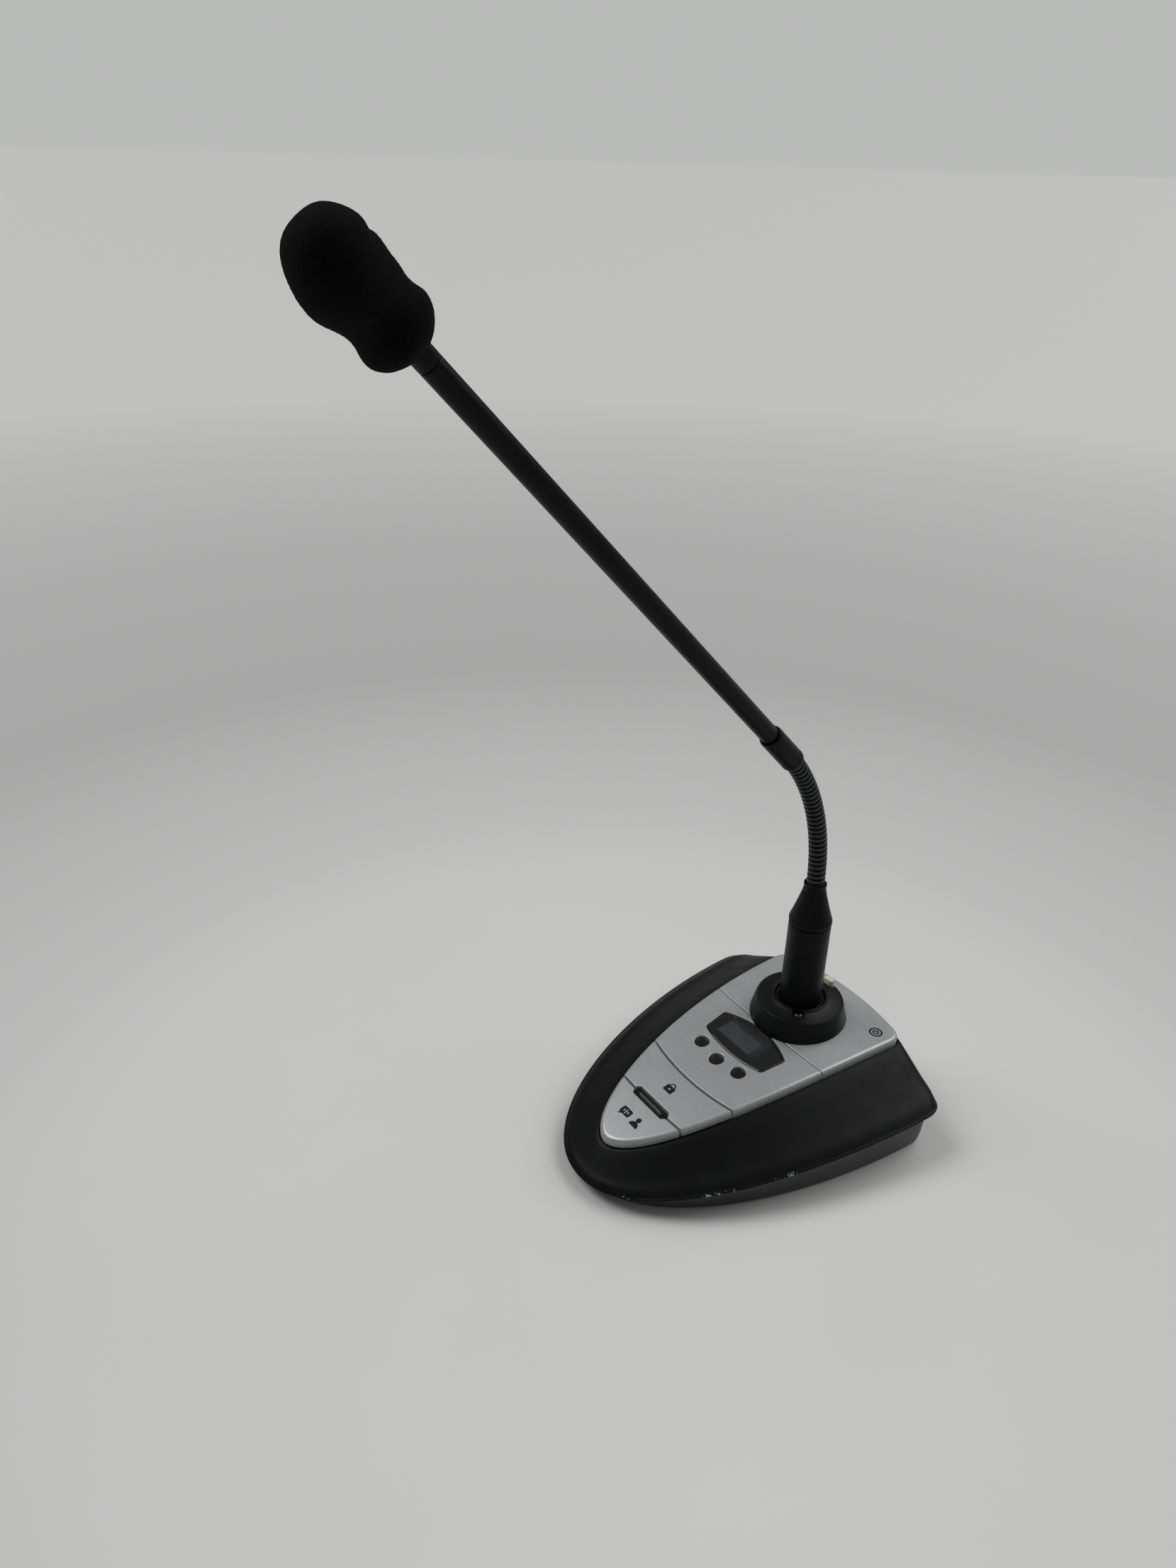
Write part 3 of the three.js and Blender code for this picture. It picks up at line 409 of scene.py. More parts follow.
def make_materials():
    MATERIALS.update(
        black_plastic=moulded_black("black_plastic", worn=True, gleam=0.11),
        # The lower band's plastic is glossier, a real stronger reflection, and its base is lightened to 0.02
        # as painted sheen from the bright floor under the overhang.
        band_plastic=moulded_black("band_plastic", base=0.02, rough=0.34, gleam=0.6),
        cone_plastic=moulded_black(
            "cone_plastic", base=0.004, rough=0.4, grain=2200, depth=0.00003, gleam=0.16,
        ),
        silver_paint=silver_paint(),
        soft_black=moulded_black("soft_black", base=0.004, rough=0.6, gleam=0.12),
        smoked_plastic=plain(
            "smoked_plastic", (0.003, 0.003, 0.0042), 0.3, vary=0.2, Specular_IOR_Level=0.2,
        ),
        gloss_black=plain(
            "gloss_black", (0.003, 0.003, 0.004), 0.07, depth=0.000002, vary=0.25, Specular_IOR_Level=0.1,
            Coat_Weight=0.9,
        ),
        lcd_glass=lcd_glass(),
        button_rubber=plain(
            "button_rubber", (0.0028, 0.0028, 0.0038), 0.4, grain=1800, vary=0.2, Specular_IOR_Level=0.25,
        ),
        black_metal=painted_metal("black_metal"),
        boot_rubber=moulded_black(
            "boot_rubber", base=0.0025, rough=0.5, grain=1500, depth=0.00002, gleam=0.14,
        ),
        flex_metal=flex_metal(),
        gold_contacts=plain("gold_contacts", (0.78, 0.55, 0.22), 0.25, 1.0),
        bright_screws=plain("bright_screws", (0.72, 0.73, 0.75), 0.2, 1.0),
        dark_screws=plain("dark_screws", (0.045, 0.045, 0.048), 0.28, 1.0),
        cream_plastic=plain("cream_plastic", (0.60, 0.56, 0.45), 0.5),
        circuit_board=circuit_board(),
        steel=plain("steel", (0.5, 0.5, 0.52), 0.35, 1.0),
        battery_wrap=plain("battery_wrap", (0.04, 0.1, 0.28), 0.35),
        foot_rubber=plain("foot_rubber", (0.013, 0.013, 0.013), 0.8, grain=900, depth=0.00006),
        foam=foam_black(),
        legend=plain("legend", (0.009, 0.01, 0.012), 0.6, vary=0.2, Specular_IOR_Level=0.1),
    )


# ------------------------------------------------------------------ meshes
def place(x, y, z):
    """A point in socket millimetres as a row-frame point in metres."""
    return Vector((x * MM, SOCKET_Y + y * MM, z * MM))


def make_piece(name, mesh, material, body, replaced=(), sharp=math.radians(40)):
    """A named piece from a mesh's points, in metres, and faces. It hides the CAD nodes it replaces."""
    points, faces = mesh
    data = bpy.data.meshes.new(name)
    data.from_pydata([tuple(p) for p in points], [], faces)
    build = bmesh.new()
    build.from_mesh(data)
    bmesh.ops.remove_doubles(build, verts=build.verts, dist=1e-7)
    bmesh.ops.dissolve_degenerate(build, edges=build.edges, dist=1e-7)
    bmesh.ops.recalc_face_normals(build, faces=build.faces)
    build.to_mesh(data)
    build.free()
    piece = bpy.data.objects.new(name, data)
    bpy.context.scene.collection.objects.link(piece)
    data.materials.append(MATERIALS[material])
    shade(piece, sharp)
    return finish_piece(piece, body, replaced)


def shade(piece, sharp):
    for polygon in piece.data.polygons:
        polygon.use_smooth = True
    piece.data.set_sharp_from_angle(angle=sharp)


def finish_piece(piece, body, replaced=()):
    if body:
        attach(piece, body)
    if replaced:
        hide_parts(*replaced)
    return piece


def apply_modifiers(piece):
    bpy.context.view_layer.update()
    evaluated = piece.evaluated_get(bpy.context.evaluated_depsgraph_get())
    data = bpy.data.meshes.new_from_object(evaluated)
    piece.modifiers.clear()
    piece.data = data


def carve(piece, cutters):
    """Cuts each cutter's shape out of the piece, then deletes the cutters."""
    for cutter in cutters:
        cut = piece.modifiers.new("cut", "BOOLEAN")
        cut.object = cutter
        cut.solver = "EXACT"
    apply_modifiers(piece)
    for cutter in cutters:
        bpy.data.objects.remove(cutter)


def cutter_mesh(name, points, faces):
    data = bpy.data.meshes.new(name)
    data.from_pydata([tuple(p) for p in points], [], faces)
    build = bmesh.new()
    build.from_mesh(data)
    bmesh.ops.remove_doubles(build, verts=build.verts, dist=1e-7)
    bmesh.ops.recalc_face_normals(build, faces=build.faces)
    build.to_mesh(data)
    build.free()
    cutter = bpy.data.objects.new(name, data)
    bpy.context.scene.collection.objects.link(cutter)
    return cutter


def prism_mesh(loop, z0, z1):
    """Points and faces of an upright prism over a loop of (x, y) pairs."""
    n = len(loop)
    points = [place(x, y, z) for z in (z0, z1) for x, y in loop]
    sides = [(i, (i + 1) % n, n + (i + 1) % n, n + i) for i in range(n)]
    return points, [tuple(reversed(range(n))), tuple(range(n, 2 * n)), *sides]


def rounded_profile(corners, steps=5):
    """A profile of (r, z) corners, each with an optional fillet radius as a third value, as smooth points."""
    points = []
    last = len(corners) - 1
    for i, corner in enumerate(corners):
        here = np.array(corner[:2], float)
        radius = corner[2] if len(corner) > 2 else 0
        if not radius or i in (0, last):
            points.append(tuple(here))
            continue
        before = np.array(corners[i - 1][:2], float) - here
        after = np.array(corners[i + 1][:2], float) - here
        span = min(radius, 0.45 * np.linalg.norm(before), 0.45 * np.linalg.norm(after))
        a = here + before / np.linalg.norm(before) * span
        b = here + after / np.linalg.norm(after) * span
        for k in range(steps + 1):
            t = k / steps
            points.append(tuple((1 - t) ** 2 * a + 2 * t * (1 - t) * here + t * t * b))
    return points


def turned_mesh(profile, segments=96, centre=(0, 0), tilt=0.0, origin=None):
    """Points and faces of a profile of (r, z) turned about its own z axis, then tilted towards the nose."""
    lean = Matrix.Rotation(tilt, 3, "X")
    start = Vector((centre[0], centre[1], 0)) if origin is None else Vector(origin)
    points, rows = [], []
    for r, z in profile:
        row = []
        for k in range(1 if r < 1e-6 else segments):
            angle = 2 * math.pi * k / segments
            spot = start + lean @ Vector((r * math.cos(angle), r * math.sin(angle), z))
            row.append(len(points))
            points.append(place(*spot))
        rows.append(row)
    faces = []
    for low, high in zip(rows, rows[1:]):
        for k in range(segments):
            n = (k + 1) % segments
            if len(low) == 1 and len(high) == 1:
                break
            if len(low) == 1:
                faces.append((low[0], high[n], high[k]))
            elif len(high) == 1:
                faces.append((low[k], low[n], high[0]))
            else:
                faces.append((low[k], low[n], high[n], high[k]))
    return points, faces


def rearward_mesh(profile, segments, start=0):
    """A profile turned about the power inlet's axis, which points to the rear."""
    return turned_mesh(profile, segments, tilt=-math.pi / 2, origin=(JACK[0], start, JACK[1]))


# ------------------------------------------------------------------ the base's outlines
def height_of(surface, y):
    return surface["height"] + surface["slope"] * y - surface["droop"] * y * y


def deck_z(y):
    return height_of(DECK, y)


def edge_z(y):
    return height_of(EDGE, y)


def grown(plan, by):
    return dict(
        plan, nose=plan["nose"] - by, rear=plan["rear"] + by, half=plan["half"] + by,
        corner=max(plan["corner"] + by, 1),
    )


def half_outline(plan, side=110, corner=12, rear=26):
    """Right half of an outline, from the nose to the middle of the rear edge."""
    length = plan["rear"] - plan["nose"]

    def width_at(u):
        return plan["half"] * (1 - (1 - plan["reach"] * u) ** plan["along"]) ** (1 / plan["across"])

    end = width_at(1)

    def rear_at(x):
        return plan["rear"] + plan["bow"] * (1 - (x / end) ** 2)

    start = 1 - plan["corner"] / length
    points = []
    for i in range(side + 1):
        u = start * (i / side) ** 2
        points.append((width_at(u), plan["nose"] + length * u))
    inner = end - plan["corner"]
    a = np.array((width_at(start), plan["rear"] - plan["corner"]))
    b = np.array((end, plan["rear"]))
    c = np.array((inner, rear_at(inner)))
    for i in range(1, corner + 1):
        t = i / corner
        points.append(tuple((1 - t) ** 2 * a + 2 * t * (1 - t) * b + t * t * c))
    for i in range(1, rear + 1):
        x = inner * (1 - i / rear)
        points.append((x, rear_at(x)))
    return points


def whole_outline(plan, **steps):
    half = half_outline(plan, **steps)
    return np.array(half + [(-x, y) for x, y in reversed(half[1:-1])])


def lifted(loop, height):
    return np.column_stack([loop, [height(y) for y in loop[:, 1]]])


def tube_of_rings(rings):
    """Points and faces joining equal rings in turn, and the last one back to the first."""
    count = len(rings[0])
    points = [place(*p) for ring in rings for p in ring]
    faces = []
    for level in range(len(rings)):
        above = (level + 1) % len(rings)
        for i in range(count):
            n = (i + 1) % count
            faces.append((level * count + i, level * count + n, above * count + n, above * count + i))
    return points, faces


def smooth_steps(pairs, count):
    """A Catmull-Rom curve through pairs of values."""
    p = np.array(pairs, float)
    p = np.vstack([2 * p[0] - p[1], p, 2 * p[-1] - p[-2]])
    spans = len(pairs) - 1
    out = []
    for k in range(count + 1):
        s = min(k / count * spans, spans - 1e-9)
        i, t = int(s), s - int(s)
        a, b, c, d = p[i:i + 4]
        bend, twist = 2 * a - 5 * b + 4 * c - d, 3 * b - a - 3 * c + d
        out.append(0.5 * (2 * b + (c - a) * t + bend * t * t + twist * t ** 3))
    return out


# ------------------------------------------------------------------ housings
FLANK = [(0, 0), (0.09, 0.05), (0.236, 0.188), (0.38, 0.337), (0.67, 0.634), (0.855, 0.8), (1, 1)]


def upper_housing_piece():
    """The black skirt: a well rim round the deck, a long flank, a crisp lower edge and its inner wall."""
    rim = lifted(whole_outline(grown(PANEL, WELL_OUT)), lambda y: deck_z(y) - WELL_RIM)
    edge = lifted(whole_outline(SKIRT), edge_z)

    def well(out, depth):
        return lifted(whole_outline(grown(PANEL, out)), lambda y: deck_z(y) - depth)

    def under(inset, lift):
        return lifted(whole_outline(grown(SKIRT, -inset)), lambda y: edge_z(y) + lift)

    rings = [
        well(-2.6, WELL_FLOOR), well(WELL_OUT, WELL_FLOOR), well(WELL_OUT, WELL_RIM + 0.5),
        well(WELL_OUT + 0.12, WELL_RIM + 0.12),
    ]
    for across, down in smooth_steps(FLANK, 34)[1:-1]:
        ring = rim.copy()
        ring[:, :2] += (edge[:, :2] - rim[:, :2]) * across
        ring[:, 2] += (edge[:, 2] - rim[:, 2]) * down
        rings.append(ring)
    rings += [
        under(0.3, 0.42), under(0.1, 0.24), under(0.01, 0.04), under(0.05, -0.1), under(0.25, -0.19),
        under(0.6, -0.2),
    ]
    rings += [under(3.4, -0.2), under(3.4, 0.9), under(4.6, 1.6)]
    inner = lifted(whole_outline(grown(PANEL, WELL_OUT - 2.4)), lambda y: deck_z(y) - WELL_FLOOR - 2.2)
    outer = lifted(whole_outline(grown(SKIRT, -4.6)), edge_z)
    inner[:, :2] += (outer[:, :2] - inner[:, :2]) * 0.15
    rings += [inner, well(-2.6, WELL_FLOOR + 2.2)]
    piece = make_piece("housing_skirt", tube_of_rings(rings), "black_plastic", None, sharp=math.radians(50))
    slot = cutter_mesh("slot", *prism_mesh(box_loop(*SWITCH_SLOT["x"], 20, 40), *SWITCH_SLOT["z"]))
    hole = rearward_mesh([(0, 0), (3.9, 0), (3.9, 20), (0, 20)], 40, 20)
    carve(piece, [slot, cutter_mesh("jack_hole", *hole)])
    shade(piece, math.radians(50))
    mark_wear(piece)
    return finish_piece(piece, "base", ["upper_housing"])


def mark_wear(piece):
    """A wear value of 1 along the chipped stretches of the skirt's right front edge, 0 beside them."""
    edge = whole_outline(SKIRT)
    attribute = piece.data.attributes.new("wear", "FLOAT", "POINT")
    values = np.zeros(len(piece.data.vertices), np.float32)
    for i, vertex in enumerate(piece.data.vertices):
        x, y = vertex.co.x / MM, (vertex.co.y - SOCKET_Y) / MM
        if x < 8 or abs(vertex.co.z / MM - edge_z(y)) > 0.8:
            continue
        if not any(start <= y <= end for start, end in WORN):
            continue
        gap = np.min(np.hypot(edge[:, 0] - x, edge[:, 1] - y))
        values[i] = max(0.0, 1 - gap / 1.1)
    attribute.data.foreach_set("value", values)


def bottom_housing_piece():
    """The recessed lower band, drawn in towards the table, with its floor, foot pockets and battery bay."""
    rings = []
    for inset, share in ((4.0, 0), (4.1, 0.35), (4.6, 0.75), (5.3, 0.97), (6.2, 1.0)):
        loop = whole_outline(grown(SKIRT, -inset))
        rings.append(lifted(loop, lambda y, s=share: (1 - s) * (edge_z(y) + 0.2) + s * 1.0))
    floor_top = whole_outline(grown(SKIRT, -7.8))
    rings += [
        lifted(floor_top, lambda y: 3.2),
        lifted(whole_outline(grown(SKIRT, -6.2)), lambda y: edge_z(y) + 0.2),
    ]
    points, faces = tube_of_rings(rings)
    count = len(floor_top)
    low, high = 4 * count, 5 * count
    for base, flip in ((low, True), (high, False)):
        for i in range(count // 2):
            quad = [base + i, base + i + 1, base + (count - i - 1) % count, base + (count - i) % count]
            quad = list(dict.fromkeys(quad))
            faces.append(tuple(reversed(quad)) if flip else tuple(quad))
    keep = [
        f
        for f in faces
        if not (min(f) >= low and max(f) < high + count and len(f) == 4 and spans_rings(f, count, 4, 5))
    ]
    piece = make_piece(
        "housing_base", (points, keep), "band_plastic", None, sharp=math.radians(45),
    )
    cutters = []
    for x, y in FEET:
        cutters.append(
            cutter_mesh("pocket", *turned_mesh([(0, 0), (6.3, 0), (6.3, 1.9), (0, 1.9)], 48, (x, y)))
        )
    for x, y in SCREW_POINTS:
        stepped = [(0, 0), (3.1, 0), (3.1, 2.3), (1.8, 2.3), (1.8, 5), (0, 5)]
        cutters.append(cutter_mesh("way", *turned_mesh(stepped, 32, (x, y))))
    bay = [
        (-23.4, -81.4), (23.4, -81.4), (23.4, -44.6), (5, -44.6), (5, -38), (-5, -38), (-5, -44.6),
        (-23.4, -44.6),
    ]
    cutters.append(cutter_mesh("bay", *prism_mesh(bay, 0, 1.9)))
    carve(piece, cutters)
    shade(piece, math.radians(45))
    return finish_piece(piece, "base", ["bottom_housing"])


def spans_rings(face, count, a, b):
    """Whether a quad joins ring a to ring b."""
    return {i // count for i in face} == {a, b}




# ------------------------------------------------------------------ deck plates, keys and window
def shoulder(distance, radius):
    """How far a rounded edge has dropped at a distance in from the wall."""
    inside = np.clip(radius - distance, 0, radius)
    return radius - np.sqrt(radius * radius - inside * inside)


def distance_to(points, line):
    """Shortest distance from each point to a polyline."""
    best = np.full(len(points), 1e9)
    for a, b in zip(line[:-1], line[1:]):
        d = b - a
        length = float(d @ d)
        if length < 1e-12:
            continue
        t = np.clip(((points - a) @ d) / length, 0, 1)
        best = np.minimum(best, np.linalg.norm(points - (a + t[:, None] * d), axis=1))
    return best


def inside_loop(points, loop):
    x, y = points[:, 0], points[:, 1]
    inside = np.zeros(len(points), bool)
    for (x0, y0), (x1, y1) in zip(loop, np.roll(loop, -1, axis=0)):
        crosses = (y0 > y) != (y1 > y)
        if not crosses.any():
            continue
        at = x0 + (y[crosses] - y0) * (x1 - x0) / (y1 - y0)
        inside[crosses] ^= x[crosses] < at
    return inside


def resampled(line, step):
    """The same polyline with points about step apart, its ends kept."""
    out = [line[0]]
    for a, b in zip(line[:-1], line[1:]):
        parts = max(1, int(round(np.linalg.norm(b - a) / step)))
        out += [a + (b - a) * k / parts for k in range(1, parts + 1)]
    return np.array(out)


def offset_inward(loop, distance):
    """A counter-clockwise loop moved inwards along its averaged normals."""
    before, after = np.roll(loop, 1, axis=0), np.roll(loop, -1, axis=0)
    tangent = after - before
    tangent /= np.linalg.norm(tangent, axis=1)[:, None]
    return loop + np.column_stack([-tangent[:, 1], tangent[:, 0]]) * distance


def triangulated(outer, holes, extra):
    """Triangles over a region with holes, using extra inside points."""
    coords, edges = [], []
    for loop in [outer, *holes]:
        start = len(coords)
        coords += [Vector(p) for p in loop]
        edges += [(start + i, start + (i + 1) % len(loop)) for i in range(len(loop))]
    coords += [Vector(p) for p in extra]
    verts, _, faces, _, _, _ = delaunay_2d_cdt(coords, edges, [], 1, 1e-6)
    points = np.array([tuple(v) for v in verts])
    triangles = np.array([f for f in faces if len(f) == 3])
    centres = points[triangles].mean(axis=1)
    keep = inside_loop(centres, outer)
    for hole in holes:
        keep &= ~inside_loop(centres, hole)
    return points, triangles[keep]


def plate_mesh(
    outer, soft_lines, crisp_lines, holes, drop, soft=1.7, crisp=0.35, spacing=2.4, sink=0, wall=1.2,
    thick=PLATE_THICK,
):
    """A deck plate whose top follows the deck; soft lines get the wide shoulder, crisp lines a small one."""
    lines = [(line, soft) for line in soft_lines] + [(line, crisp) for line in crisp_lines]
    lines += [(np.vstack([hole, hole[:1]]), radius) for hole, radius in holes]
    holes = [hole for hole, _ in holes]

    def fall(points):
        total = np.zeros(len(points))
        for line, radius in lines:
            total = np.maximum(total, shoulder(distance_to(points, line), radius))
        return total

    extra = []
    for line, radius in lines:
        closed = np.allclose(line[0], line[-1])
        tangent = np.gradient(line, axis=0)
        tangent /= np.linalg.norm(tangent, axis=1)[:, None] + 1e-12
        normal = np.column_stack([-tangent[:, 1], tangent[:, 0]])
        for share in (0.06, 0.2, 0.42, 0.7, 1.0, 1.25):
            for side in (1, -1):
                extra.append((line + side * normal * radius * share)[:-1 if closed else None])
    low, high = outer.min(axis=0), outer.max(axis=0)
    grid = np.stack(
        np.meshgrid(np.arange(low[0], high[0], spacing), np.arange(low[1], high[1], spacing)), -1,
    ).reshape(-1, 2)
    clear = np.ones(len(grid), bool)
    for line, radius in lines:
        clear &= distance_to(grid, line) > radius * 1.25 + 0.5
    extra.append(grid[clear])
    extra = np.vstack(extra)
    keep = inside_loop(extra, outer)
    for hole in holes:
        keep &= ~inside_loop(extra, hole)
    extra = extra[keep]
    near = np.full(len(extra), 1e9)
    for loop in [outer, *holes]:
        near = np.minimum(near, distance_to(extra, np.vstack([loop, loop[:1]])))
    extra = extra[near > 0.05]
    extra = thinned(extra, 0.06)
    plan, triangles = triangulated(outer, holes, extra)
    tops = np.array([deck_z(y) for y in plan[:, 1]]) - sink - fall(plan)
    points = [place(x, y, z) for (x, y), z in zip(plan, tops)]
    faces = [tuple(int(i) for i in t) for t in triangles]
    add_walls(points, faces, plan, outer, holes, drop, wall, thick)
    return points, faces


def thinned(points, step):
    """Drops points that fall in the same tiny cell as another."""
    cells = np.unique(np.round(points / step).astype(int), axis=0, return_index=True)[1]
    return points[np.sort(cells)]


def add_walls(points, faces, plan, outer, holes, drop, wall, thick):
    """Closes a plate below: an outer wall to its drop, an inner wall, and the underside with its holes."""
    def index_of(p):
        return int(np.argmin(np.hypot(plan[:, 0] - p[0], plan[:, 1] - p[1])))

    def add_loop(loop, depth):
        start = len(points)
        points.extend(place(x, y, deck_z(y) - depth) for x, y in loop)
        return list(range(start, start + len(loop)))

    def join(a, b):
        n = len(a)
        faces.extend((a[i], b[i], b[(i + 1) % n], a[(i + 1) % n]) for i in range(n))

    inner_plan = offset_inward(outer, wall)
    top = [index_of(p) for p in outer]
    foot = add_loop(outer, drop)
    join(top, foot)
    inner_foot = add_loop(inner_plan, drop)
    join(foot, inner_foot)
    under_plan, triangles = triangulated(inner_plan, holes, np.zeros((0, 2)))
    start = len(points)
    points.extend(place(x, y, deck_z(y) - thick) for x, y in under_plan)
    faces.extend(tuple(int(i) + start for i in reversed(t)) for t in triangles)

    def under_index(p):
        return start + int(np.argmin(np.hypot(under_plan[:, 0] - p[0], under_plan[:, 1] - p[1])))

    join(inner_foot, [under_index(p) for p in inner_plan])
    for hole in holes:
        join([index_of(p) for p in hole], [under_index(p) for p in hole])


def seam_y(seam, x, side):
    return seam["y"] - seam["bow"] * (1 - (x / seam["half"]) ** 2) + side * seam["gap"] / 2


def plate_outline(front, rear):
    """One plate's loop, its outline stretches (soft shoulder) and its seams (crisp)."""
    half = np.array(half_outline(grown(PANEL, WALL_OUT), side=150, corner=14, rear=30))
    keep = np.ones(len(half), bool)
    if front:
        keep &= half[:, 1] > np.array([seam_y(front, x, 1) for x in half[:, 0]])
    if rear:
        keep &= half[:, 1] < np.array([seam_y(rear, x, -1) for x in half[:, 0]])
    side = half[keep]
    if front:
        side = np.vstack([crossing(half, front, 1), side])
    if rear:
        side = np.vstack([side, crossing(half, rear, -1)])
    side = resampled(side, 0.8)
    mirrored = side[::-1] * [-1, 1]
    soft, crisp, loop = [], [], [side]
    if rear:
        x = np.linspace(side[-1, 0], -side[-1, 0], 70)
        seam = np.column_stack([x, [seam_y(rear, v, -1) for v in x]])
        crisp.append(seam)
        loop.append(seam[1:-1])
    loop.append(mirrored if rear else mirrored[1:])
    if front:
        x = np.linspace(-side[0, 0], side[0, 0], 70)
        seam = np.column_stack([x, [seam_y(front, v, 1) for v in x]])
        crisp.append(seam)
        loop.append(seam[1:-1])
        if rear:
            soft = [side, mirrored]
        else:
            soft = [np.vstack([side, mirrored[1:]])]
    else:
        loop[-1] = mirrored[:-1]
        soft = [np.vstack([mirrored, side[1:]])]
    return np.vstack(loop), soft, crisp


def crossing(half, seam, side):
    """Where the outline meets a seam."""
    gaps = half[:, 1] - np.array([seam_y(seam, x, side) for x in half[:, 0]])
    i = int(np.argmax(gaps > 0))
    t = gaps[i - 1] / (gaps[i - 1] - gaps[i])
    return half[i - 1] + (half[i] - half[i - 1]) * t


def circle_loop(x, y, radius, count=64):
    angles = np.linspace(0, 2 * math.pi, count, endpoint=False)
    return np.column_stack([x + radius * np.cos(angles), y + radius * np.sin(angles)])


def rounded_rectangle(x, y, half_x, half_y, corner, arc=8):
    loop = []
    for cx, cy, start in ((1, -1, -90), (1, 1, 0), (-1, 1, 90), (-1, -1, 180)):
        for k in range(arc + 1):
            angle = math.radians(start + 90 * k / arc)
            middle_x, middle_y = x + cx * (half_x - corner), y + cy * (half_y - corner)
            loop.append((middle_x + corner * math.cos(angle), middle_y + corner * math.sin(angle)))
    return np.array(loop)


def bezier(a, b, c, count):
    t = np.linspace(0, 1, count)[:, None]
    a, b, c = (np.array(p, float) for p in (a, b, c))
    return (1 - t) ** 2 * a + 2 * t * (1 - t) * b + t * t * c


def window_loop(margin):
    """The display window's barrel outline: bowed long edges, straight short sides, small rounded corners."""
    w = WINDOW
    rx, ry, fx, fy, r, m = w["rear_x"] + margin, w["rear_y"], w[
        "front_x"
    ] + margin, w["front_y"], w["corner"], margin
    stretches = [
        bezier((-fx + r, fy - m - 0.25), (0, fy - m - 2 * w["front_bow"]), (fx - r, fy - m - 0.25), 40),
        bezier((fx - r, fy - m - 0.25), (fx, fy - m), (fx + 0.2, fy + r), 9),
        bezier((fx + 0.2, fy + r), ((fx + rx) / 2, (fy + ry) / 2), (rx - 0.2, ry - r), 12),
        bezier((rx - 0.2, ry - r), (rx, ry + m), (rx - r, ry + m + 0.6), 9),
        bezier((rx - r, ry + m + 0.6), (0, ry + m + 2 * w["rear_bow"]), (-rx + r, ry + m + 0.6), 40),
        bezier((-rx + r, ry + m + 0.6), (-rx, ry + m), (-rx + 0.2, ry - r), 9),
        bezier((-rx + 0.2, ry - r), (-(fx + rx) / 2, (fy + ry) / 2), (-fx - 0.2, fy + r), 12),
        bezier((-fx - 0.2, fy + r), (-fx, fy - m), (-fx + r, fy - m - 0.25), 9),
    ]
    return np.vstack([s[:-1] for s in stretches])


def led_notch(seam, side):
    """A key's loop with the light bar's recess taken out of its seam side."""
    half_x, half_y = LED["recess"]
    corner = 1.5
    y_in = LED["y"] + side * half_y
    at = seam_y(seam, half_x, side)
    right = [(half_x, at), (half_x, y_in - side * corner), (half_x - corner, y_in)]
    path = np.array(right + [(-x, y) for x, y in reversed(right)])
    if side > 0:
        path = path[::-1]
    return resampled(path, 0.6)


def key_piece(name, front, rear, body):
    """A silver key; the light bar's recess bites into the seam that both keys share."""
    outer, soft, crisp = plate_outline(front, rear)
    seam, side = (rear, -1) if rear is SEAM_TALK else (front, 1)
    notch = led_notch(seam, side)
    half_x = LED["recess"][0]
    on_seam = np.abs(outer[:, 1] - np.array([seam_y(seam, x, side) for x in outer[:, 0]])) < 1e-6
    inside = on_seam & (np.abs(outer[:, 0]) < half_x)
    first = int(np.argmax(inside))
    rest = np.roll(outer, -first, axis=0)
    inside = np.roll(inside, -first)
    loop = np.vstack([notch, rest[~inside]])
    crisp = [line for line in crisp if abs(line[0, 1] - seam_y(seam, line[0, 0], side)) > 1e-6]
    line = seam_line(seam, side, outer[on_seam])
    left, right = line[line[:, 0] < -half_x], line[line[:, 0] > half_x]
    ordered = notch if notch[0, 0] < notch[-1, 0] else notch[::-1]
    crisp.append(np.vstack([left, ordered, right]))
    return make_piece(
        name + "_cap", plate_mesh(loop, soft, crisp, [], KEY_DROP), "silver_paint", body, [name],
    )


def seam_line(seam, side, on_seam):
    """The seam drawn across the plate, from the outermost loop point on it to its mirror image."""
    reach = np.abs(on_seam[:, 0]).max()
    x = np.linspace(-reach, reach, 90)
    return np.column_stack([x, [seam_y(seam, v, side) for v in x]])


def button_place(node):
    """A button's lowest height and its centre, from the frame."""
    low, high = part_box(node)
    return low.z / MM, ((low.x + high.x) / 2 / MM, ((low.y + high.y) / 2 - SOCKET_Y) / MM)


def deck_pieces():
    key_piece("talk_key", None, SEAM_TALK, "talk_key")
    key_piece("lock_key", SEAM_TALK, SEAM_LOCK, "lock_key")
    outer, soft, crisp = plate_outline(SEAM_LOCK, SEAM_REAR)
    holes = [(window_loop(0.15)[::-1], 0.3)]
    for node in BUTTONS:
        _, (x, y) = button_place(node)
        holes.append((circle_loop(x, y, BUTTON_HOLE)[::-1], 0.5))
    make_piece(
        "display_deck", plate_mesh(outer, soft, crisp, holes, FIXED_DROP), "silver_paint", "base",
        ["display_plate"],
    )
    outer, soft, crisp = plate_outline(SEAM_REAR, None)
    holes = [(circle_loop(0, 0, CONE_RIM[0], 96)[::-1], 0.2)]
    make_piece(
        "rear_deck", plate_mesh(outer, soft, crisp, holes, FIXED_DROP), "silver_paint", "base",
        ["rear_plate"],
    )


